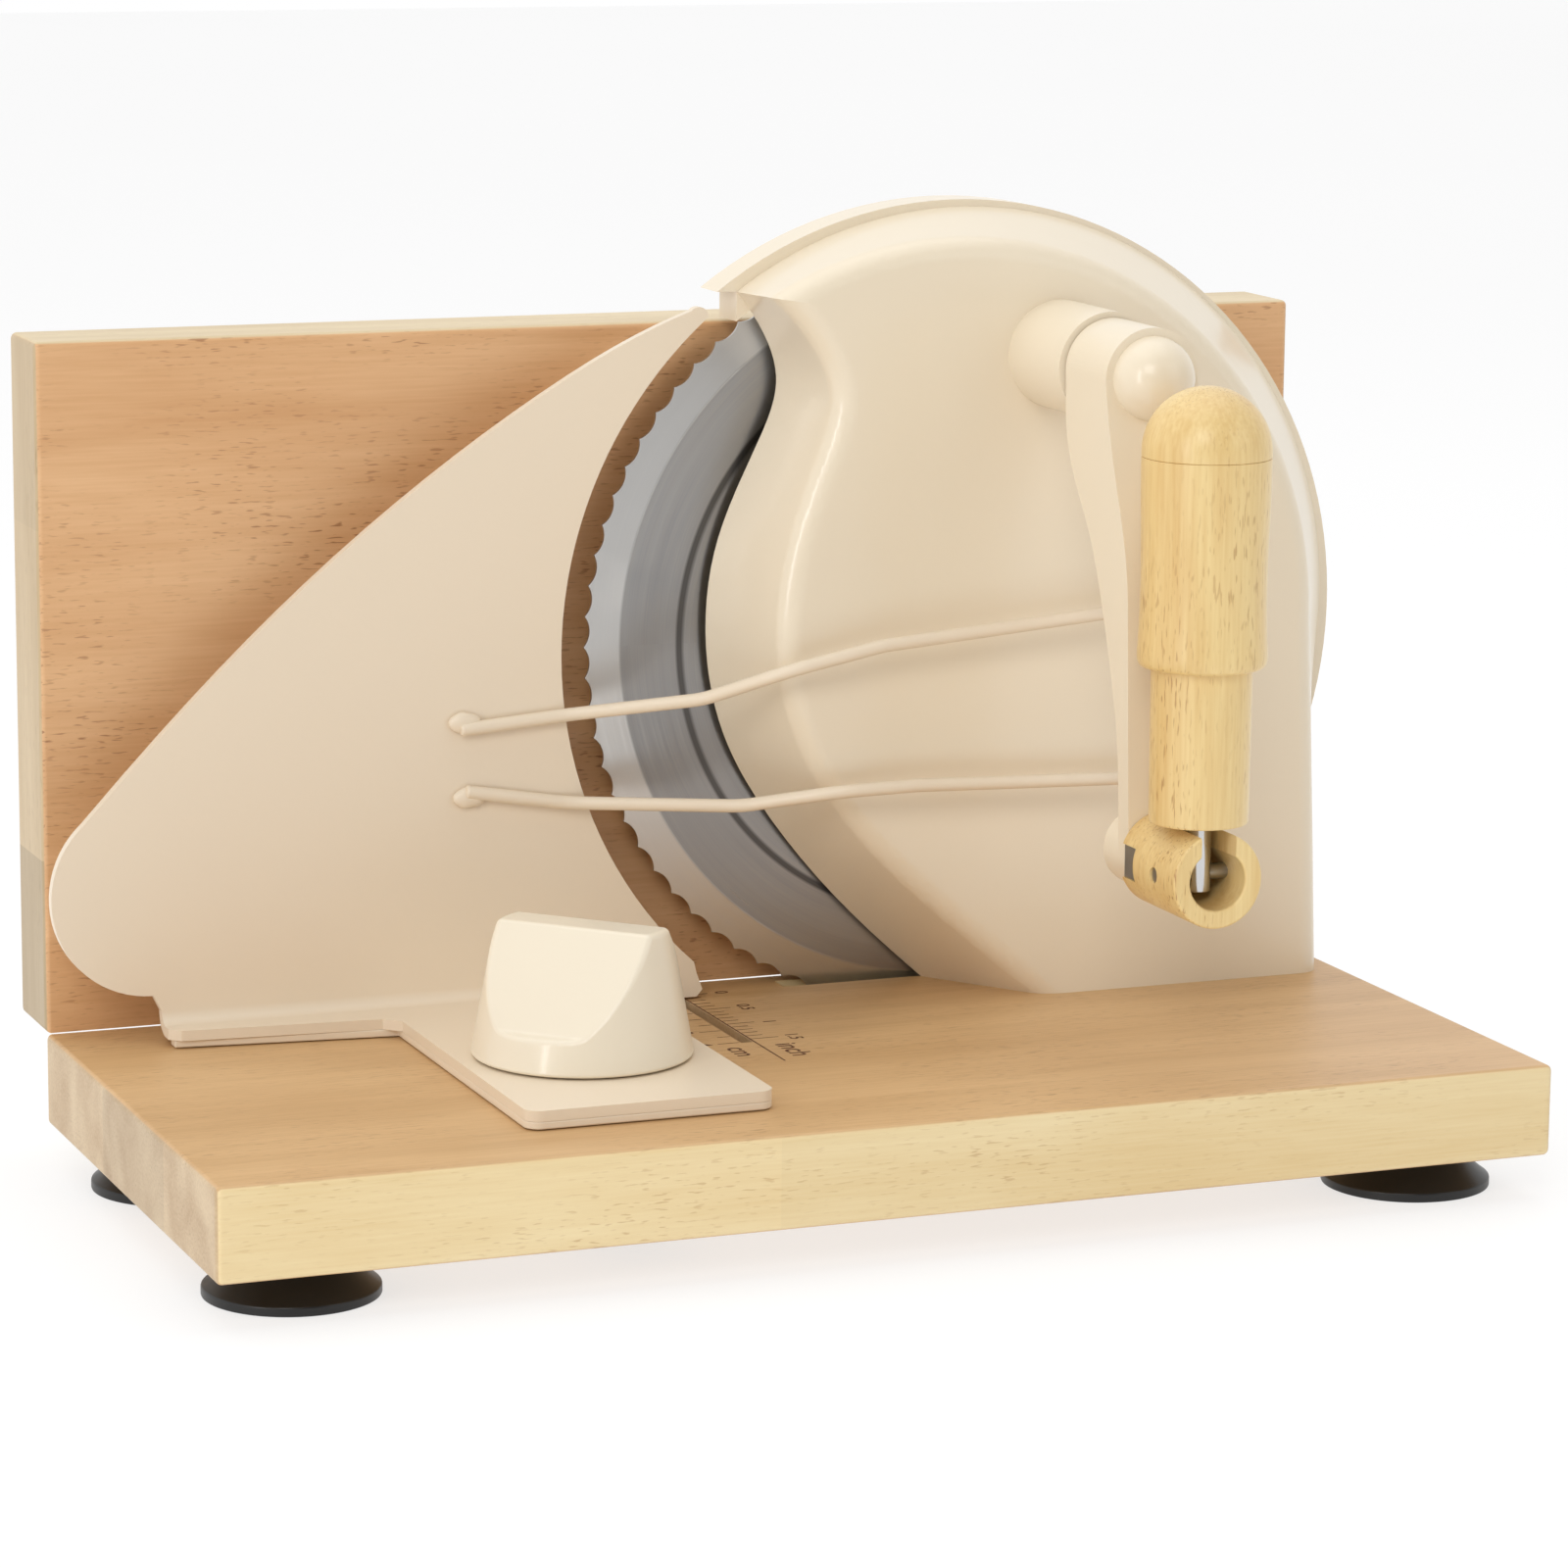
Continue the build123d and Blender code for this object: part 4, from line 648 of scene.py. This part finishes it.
    def _coat(
        self, nodes: NodeTree, skin: bpy.types.Node, paint: Colour, grain: float, extra: float, coat: float
    ) -> None:
        """Sprayed cream paint.

        Args:
            nodes: The material's nodes.
            skin: Its shader.
            paint: The paint's colour.
            grain: Pebbles per metre.
            extra: Roughness above the least.
            coat: Weight of the clear coat.
        """
        group = nodes.add("ShaderNodeGroup", node_tree=self.groups.peel)
        nodes.join(self._place(nodes), group.inputs["Vector"])
        group.inputs["Paint"].default_value = paint
        group.inputs["Grain"].default_value = grain
        nodes.join(group.outputs["Color"], skin.inputs["Base Color"])
        nodes.join(nodes.maths("ADD", group.outputs["Wear"], extra), skin.inputs["Roughness"])
        skin.inputs["Coat Weight"].default_value = coat
        skin.inputs["Coat Roughness"].default_value = 0.12
        self._bump(nodes, skin, group.outputs["Height"], 0.22, 0.12)

    def _rubber(self, nodes: NodeTree, skin: bpy.types.Node) -> None:
        """Black rubber with a faint bloom."""
        bloom = nodes.noise(self._place(nodes), (160.0, 160.0, 160.0), 3.0)
        nodes.join(nodes.mix(bloom, grey(0.003), grey(0.009)), skin.inputs["Base Color"])
        nodes.join(nodes.maths("ADD", nodes.maths("MULTIPLY", bloom, 0.2), 0.28), skin.inputs["Roughness"])
        self._bump(nodes, skin, bloom, 0.1, 0.1)

    def _blade(self, nodes: NodeTree, skin: bpy.types.Node) -> None:
        """Blade steel, ground in circles, with a painted highlight on the bevel and a painted shade line at
        the step.
        """
        group = nodes.add("ShaderNodeGroup", node_tree=self.groups.rings)
        nodes.join(self._place(nodes, tuple(self.blade_centre)), group.inputs["Vector"])
        group.inputs["Metal"].default_value = srgb(158, 155, 151)
        radius = group.outputs["Radius"]
        # Painted highlight: from 69.6 mm out, the bevel's colour is mixed towards near-white.
        bevel = nodes.span(radius, 69.6 * MM, 70.2 * MM)
        # Painted shade: a dark line along the step ring at 57.6 mm, mixed into the colour at 75 %.
        offset = nodes.maths("ABSOLUTE", nodes.maths("SUBTRACT", radius, 57.6 * MM))
        step = nodes.maths("SUBTRACT", 1.0, nodes.span(offset, 0.35 * MM, 0.9 * MM))
        ground = nodes.mix(nodes.maths("MULTIPLY", bevel, 0.6), group.outputs["Color"], srgb(236, 235, 232))
        line = nodes.maths("MULTIPLY", step, 0.75)
        nodes.join(nodes.mix(line, ground, srgb(60, 56, 54)), skin.inputs["Base Color"])
        nodes.join(group.outputs["Roughness"], skin.inputs["Roughness"])
        skin.inputs["Metallic"].default_value = 1.0
        skin.inputs["Anisotropic"].default_value = 0.65
        tangent = nodes.add("ShaderNodeTangent", direction_type="RADIAL", axis="Y")
        nodes.join(tangent.outputs[0], skin.inputs["Tangent"])
        self._bump(nodes, skin, group.outputs["Height"], 0.08, 0.02)

    def _metal(self, nodes: NodeTree, skin: bpy.types.Node, colour: Colour, roughness: float) -> None:
        """Plain metal with faint handling marks.

        Args:
            nodes: The material's nodes.
            skin: Its shader.
            colour: The metal's colour.
            roughness: Its mean roughness.
        """
        marks = nodes.noise(self._place(nodes), (320.0, 320.0, 90.0), 3.0)
        stain = nodes.maths("MULTIPLY", marks, 0.3)
        nodes.join(nodes.mix(stain, colour, grey(0.2)), skin.inputs["Base Color"])
        spread = nodes.maths("MULTIPLY", marks, 0.16)
        nodes.join(nodes.maths("ADD", spread, roughness - 0.08), skin.inputs["Roughness"])
        skin.inputs["Metallic"].default_value = 1.0

    def _nylon(self, nodes: NodeTree, skin: bpy.types.Node) -> None:
        """Moulded gear nylon."""
        cloud = nodes.noise(self._place(nodes), (90.0, 90.0, 90.0), 2.0)
        nodes.join(nodes.mix(cloud, srgb(228, 222, 206), srgb(214, 206, 188)), skin.inputs["Base Color"])
        nodes.join(nodes.maths("ADD", nodes.maths("MULTIPLY", cloud, 0.2), 0.4), skin.inputs["Roughness"])

    def _ink(self, nodes: NodeTree, skin: bpy.types.Node) -> None:
        """Scale burnt into the wood, slightly uneven."""
        patches = nodes.noise(self._place(nodes), (900.0, 900.0, 900.0), 2.0)
        uneven = nodes.span(patches, 0.3, 0.75)
        nodes.join(nodes.mix(uneven, srgb(74, 40, 26), srgb(122, 80, 52)), skin.inputs["Base Color"])
        skin.inputs["Roughness"].default_value = 0.7


@dataclass(frozen=True)
class PrintedScale:
    """The scale burnt into the base, in millimetres from the base's front left corner.

    Attributes:
        line_left: Left side of the long line.
        line_right: Right side of the long line.
        line_front: Front end of the long line.
        line_rear: Rear end of the long line.
        groove_left: Where the centimetre ticks end, left of the guide's groove.
        zero: Depth of both scales' zero.
        tenth_inch: Step between the inch ticks.
        tenths: Number of inch ticks.
        inch_long: Length of every fifth inch tick.
        inch_short: Length of the other inch ticks.
        half_centimetre: Step between the centimetre ticks.
        half_centimetres: Number of centimetre ticks.
        centimetre_long: Length of every second centimetre tick.
        centimetre_short: Length of the other centimetre ticks.
        stroke: Width of an inch tick.
        fine_stroke: Width of a centimetre tick.
        lift: Height of the print over the wood.
        labels: Text, two coordinates and size of each word.
    """

    line_left: float = 124.95
    line_right: float = 125.3
    line_front: float = 51.7
    line_rear: float = 110.4
    groove_left: float = 122.2
    zero: float = 108.0
    tenth_inch: float = 2.54
    tenths: int = 16
    inch_long: float = 5.6
    inch_short: float = 3.3
    half_centimetre: float = 5.0
    half_centimetres: int = 9
    centimetre_long: float = 4.4
    centimetre_short: float = 2.6
    stroke: float = 0.32
    fine_stroke: float = 0.28
    lift: float = 0.03
    labels: tuple[tuple[str, float, float, float], ...] = (
        ("0", 132.6, 109.0, 2.7),
        ("0.5", 132.6, 97.2, 2.7),
        ("1", 132.6, 83.0, 2.7),
        ("1.5", 132.6, 71.6, 2.7),
        ("inch", 128.0, 64.6, 4.4),
        ("cm", 118.0, 64.6, 4.2),
        ("0", 114.2, 109.0, 2.5),
        ("1", 114.2, 99.0, 2.5),
        ("2", 114.2, 89.0, 2.5),
        ("3", 114.2, 79.0, 2.5),
        ("4", 114.2, 69.0, 2.5),
    )


class Slicer:
    """Dresses the CAD frame and adds the small parts that only the looks need."""

    def __init__(self, frame: dict) -> None:
        """Read the frame.
        """
        self.nodes: dict[str, bpy.types.Object] = frame["nodes"]
        self.record: dict = frame["record"]
        self.body_of = {n: body for body, names in self.record["behaviour"]["bodies"].items() for n in names}
        self.slot_of = {part["node"]: part["material_slot"] for part in self.record["subparts"]}
        low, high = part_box("blade")
        self.blade_centre = (low + high) / 2
        self.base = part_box("base_board")
        self.materials = Materials(
            self.blade_centre,
            {name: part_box(name) for name in ("base_board", "bed_board")},
        )

    def _adopt(
        self, name: str, mesh: bpy.types.Mesh, finish: Finish, body: str
    ) -> bpy.types.Object:
        """Put a mesh into the scene as a piece that rides on a body.

        Args:
            name: The piece's name.
            mesh: Its mesh.
            finish: Its surface.
            body: The CAD body that it rides on.

        Returns:
            The piece.
        """
        piece = bpy.data.objects.new(name, mesh)
        bpy.context.scene.collection.objects.link(piece)
        mesh.materials.clear()
        mesh.materials.append(self.materials.get(finish))
        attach(piece, body)
        return piece

    def dress(self, node: str, dress: Dress) -> bpy.types.Object:
        """Replace a CAD node by a smooth copy with rounded edges.

        Args:
            node: The node's name.
            dress: How it is dressed.

        Returns:
            The piece.
        """
        mesh = self.nodes[node].data.copy()
        mesh.name = f"{node}_dressed"
        shape = bmesh.new()
        shape.from_mesh(mesh)
        bmesh.ops.remove_doubles(shape, verts=shape.verts, dist=0.002 * MM)
        bmesh.ops.dissolve_limit(
            shape, angle_limit=math.radians(0.3), verts=shape.verts, edges=shape.edges, delimit={"NORMAL"}
        )
        bmesh.ops.recalc_face_normals(shape, faces=shape.faces)
        shape.to_mesh(mesh)
        shape.free()
        mesh.polygons.foreach_set("use_smooth", [True] * len(mesh.polygons))
        mesh.set_sharp_from_angle(angle=math.radians(dress.sharp_deg))
        piece = self._adopt(f"{node}_piece", mesh, dress.finish, self.body_of[node])
        if dress.edge_mm:
            bevel = piece.modifiers.new("edges", "BEVEL")
            bevel.width = dress.edge_mm * MM
            bevel.segments = dress.segments
            bevel.limit_method = "ANGLE"
            bevel.angle_limit = math.radians(dress.sharp_deg)
            bevel.harden_normals = True
        normals = piece.modifiers.new("normals", "WEIGHTED_NORMAL")
        normals.keep_sharp = True
        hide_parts(node)
        return piece

    def dress_all(self) -> None:
        """Dress every node, those without an entry of their own as steel hardware."""
        for node in self.nodes:
            self.dress(node, DRESSES.get(node, Dress(Finish.STEEL, 0.12, 1, 40.0)))
        LOG.info("dressed %d nodes", len(self.nodes))

    def base_point(self, x: float, y: float, z: float = 0.0) -> Vector:
        """Turn millimetres from the base board's front left top corner into a place.

        Args:
            x: Millimetres to the right.
            y: Millimetres towards the rear.
            z: Millimetres upwards.

        Returns:
            The place in metres.
        """
        low, high = self.base
        return Vector((low.x + x * MM, low.y + y * MM, high.z + z * MM))

    def ruler(self) -> None:
        """Print the inch and centimetre scale beside the guide's groove."""
        scale = PrintedScale()
        bars = [(scale.line_left, scale.line_front, scale.line_right, scale.line_rear)]
        half = scale.stroke / 2
        for tenth in range(scale.tenths):
            y = scale.zero - scale.tenth_inch * tenth
            reach = scale.inch_long if tenth % 5 == 0 else scale.inch_short
            bars.append((scale.line_right, y - half, scale.line_right + reach, y + half))
        half = scale.fine_stroke / 2
        for step in range(scale.half_centimetres):
            y = scale.zero - scale.half_centimetre * step
            reach = scale.centimetre_long if step % 2 == 0 else scale.centimetre_short
            bars.append((scale.groove_left - reach, y - half, scale.groove_left, y + half))
        shape = bmesh.new()
        for left, front, right, rear in bars:
            loop = ((left, front), (right, front), (right, rear), (left, rear))
            shape.faces.new([shape.verts.new(self.base_point(x, y, scale.lift)) for x, y in loop])
        mesh = bpy.data.meshes.new("scale_lines")
        shape.to_mesh(mesh)
        shape.free()
        self._adopt("scale_lines", mesh, Finish.INK, "frame")
        for number, (text, x, y, size) in enumerate(scale.labels):
            self.print_text(f"scale_text_{number}", text, self.base_point(x, y, scale.lift), size)

    def print_text(self, name: str, text: str, place: Vector, size_mm: float) -> bpy.types.Object:
        """Print a word on the base, read from the left side.

        Args:
            name: The piece's name.
            text: The word.
            place: Where it starts.
            size_mm: Height of a capital.

        Returns:
            The piece.
        """
        curve = bpy.data.curves.new(name, "FONT")
        curve.body = text
        curve.size = size_mm * 1.4 * MM
        curve.offset = 0.05 * MM
        writer = bpy.data.objects.new(f"{name}_writer", curve)
        bpy.context.scene.collection.objects.link(writer)
        mesh = bpy.data.meshes.new_from_object(writer.evaluated_get(bpy.context.evaluated_depsgraph_get()))
        bpy.data.objects.remove(writer)
        mesh.transform(Matrix.Translation(place) @ Matrix.Rotation(math.radians(-90.0), 4, "Z"))
        mesh.name = name
        return self._adopt(name, mesh, Finish.INK, "frame")

    def weld_beads(self) -> None:
        """Flattened weld beads where the two wires start on the guide plate."""
        plate_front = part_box("guide_plate")[1].y - 2.0 * MM
        for wire in ("upper_wire", "lower_wire"):
            mesh = self.nodes[wire].data
            start = min((v.co for v in mesh.vertices), key=lambda place: place.x)
            centre = Vector((start.x + 1.2 * MM, plate_front - 0.7 * MM, start.z))
            shape = bmesh.new()
            bmesh.ops.create_uvsphere(shape, u_segments=28, v_segments=16, radius=1.0)
            for vert in shape.verts:
                ripple = 1.0 + 0.06 * math.sin(5.0 * vert.co.x + 3.0 * vert.co.z)
                vert.co = Vector((vert.co.x * 3.3, vert.co.y * 1.3, vert.co.z * 2.0 * ripple)) * MM + centre
            bead = bpy.data.meshes.new(f"{wire}_bead")
            shape.to_mesh(bead)
            shape.free()
            bead.polygons.foreach_set("use_smooth", [True] * len(bead.polygons))
            self._adopt(f"{wire}_bead", bead, Finish.COATED_SHEET, "guide")


@dataclass(frozen=True)
class SoftBox:
    """An area light.

    Attributes:
        name: The light's name.
        place: Where it is, in metres.
        aim: What it points at.
        size: Width and height in metres.
        power: Watts.
    """

    name: str
    place: Point
    aim: Point
    size: tuple[float, float]
    power: float


class Studio:
    """Floor, soft lights and the camera."""

    CAMERA_PLACE: Point = (-0.377299, -0.949071, 0.273990)
    CAMERA_RIGHT: Point = (0.929636, -0.368370, 0.008953)
    CAMERA_UP: Point = (0.062370, 0.181251, 0.981457)
    CAMERA_BACK: Point = (-0.363162, -0.911840, 0.191473)
    LENS_MM: float = 125.9
    SENSOR_MM: float = 36.0
    LIGHTS: tuple[SoftBox, ...] = (
        SoftBox("key", (-0.75, -1.25, 1.05), (0.0, 0.0, 0.08), (0.7, 0.7), 7.0),
        SoftBox("fill", (0.95, -1.10, 0.70), (0.0, 0.0, 0.08), (1.0, 1.0), 3.2),
        SoftBox("top", (0.0, 0.1, 1.35), (0.0, 0.0, 0.0), (1.4, 1.2), 4.2),
        SoftBox("left_strip", (-1.25, -0.75, 0.40), (0.0, 0.0, 0.1), (0.16, 0.8), 4.5),
    )

    def build(self) -> None:
        """Make everything that isn't the slicer."""
        self._floor()
        self._world()
        for light in self.LIGHTS:
            self._light(light)
        self._camera()

    @staticmethod
    def _floor() -> None:
        """A wide pale floor with a faint tone change."""
        mesh = bpy.data.meshes.new("floor")
        reach = 4.0
        loop = [(-reach, -reach, 0), (reach, -reach, 0), (reach, reach, 0), (-reach, reach, 0)]
        mesh.from_pydata(loop, [], [(0, 1, 2, 3)])
        floor = bpy.data.objects.new("floor", mesh)
        bpy.context.scene.collection.objects.link(floor)
        material = bpy.data.materials.new("floor_paper")
        material.use_nodes = True
        nodes = NodeTree(material.node_tree)
        skin = material.node_tree.nodes["Principled BSDF"]
        coordinates = nodes.add("ShaderNodeTexCoord")
        cloud = nodes.noise(coordinates.outputs["Object"], (1.2, 1.2, 1.2), 1.0)
        nodes.join(nodes.mix(cloud, grey(0.29), grey(0.31)), skin.inputs["Base Color"])
        skin.inputs["Roughness"].default_value = 0.8
        skin.inputs["Specular IOR Level"].default_value = 0.1
        skin.inputs["Emission Color"].default_value = grey(1.0)
        skin.inputs["Emission Strength"].default_value = 0.70
        mesh.materials.append(material)

    @staticmethod
    def _world() -> None:
        """Even white surroundings, darker behind the viewer so that metal has something to mirror."""
        world = bpy.data.worlds.new("studio")
        bpy.context.scene.world = world
        world.use_nodes = True
        nodes = NodeTree(world.node_tree)
        ground = world.node_tree.nodes["Background"]
        coordinates = nodes.add("ShaderNodeTexCoord")
        parts = nodes.add("ShaderNodeSeparateXYZ")
        nodes.join(coordinates.outputs["Generated"], parts.inputs[0])
        rear = nodes.span(parts.outputs["Y"], -0.75, 0.15)
        nodes.join(nodes.mix(rear, (0.13, 0.13, 0.135, 1.0), (1.0, 1.0, 1.0, 1.0)), ground.inputs["Color"])
        ground.inputs["Strength"].default_value = 1.0

    @staticmethod
    def _light(box: SoftBox) -> None:
        """Make one soft light.

        Args:
            box: Its place, size and power.
        """
        data = bpy.data.lights.new(box.name, "AREA")
        data.shape = "RECTANGLE"
        data.size, data.size_y = box.size
        data.energy = box.power
        light = bpy.data.objects.new(box.name, data)
        bpy.context.scene.collection.objects.link(light)
        light.location = box.place
        light.rotation_mode = "QUATERNION"
        light.rotation_quaternion = (Vector(box.aim) - Vector(box.place)).to_track_quat("-Z", "Y")

    def _camera(self) -> None:
        """Stand the camera where the photograph was taken."""
        data = bpy.data.cameras.new("camera")
        data.sensor_fit = "HORIZONTAL"
        data.sensor_width = self.SENSOR_MM
        data.lens = self.LENS_MM
        data.dof.use_dof = False
        data.clip_start, data.clip_end = 0.05, 20.0
        camera = bpy.data.objects.new("camera", data)
        bpy.context.scene.collection.objects.link(camera)
        axes = (self.CAMERA_RIGHT, self.CAMERA_UP, self.CAMERA_BACK)
        turn = Matrix([[axis[row] for axis in axes] for row in range(3)])
        camera.matrix_world = Matrix.Translation(self.CAMERA_PLACE) @ turn.to_4x4()
        bpy.context.scene.camera = camera


def main() -> None:
    """Build the scene."""
    logging.basicConfig(level=logging.INFO, format="%(name)s: %(message)s")
    for name in ("Cube", "Light", "Camera"):
        if name in bpy.data.objects:
            bpy.data.objects.remove(bpy.data.objects[name])
    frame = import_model()
    slicer = Slicer(frame)
    slicer.dress_all()
    slicer.ruler()
    slicer.weld_beads()
    Studio().build()
    bpy.context.scene.view_settings.view_transform = "Standard"


if __name__ == "__main__":
    main()
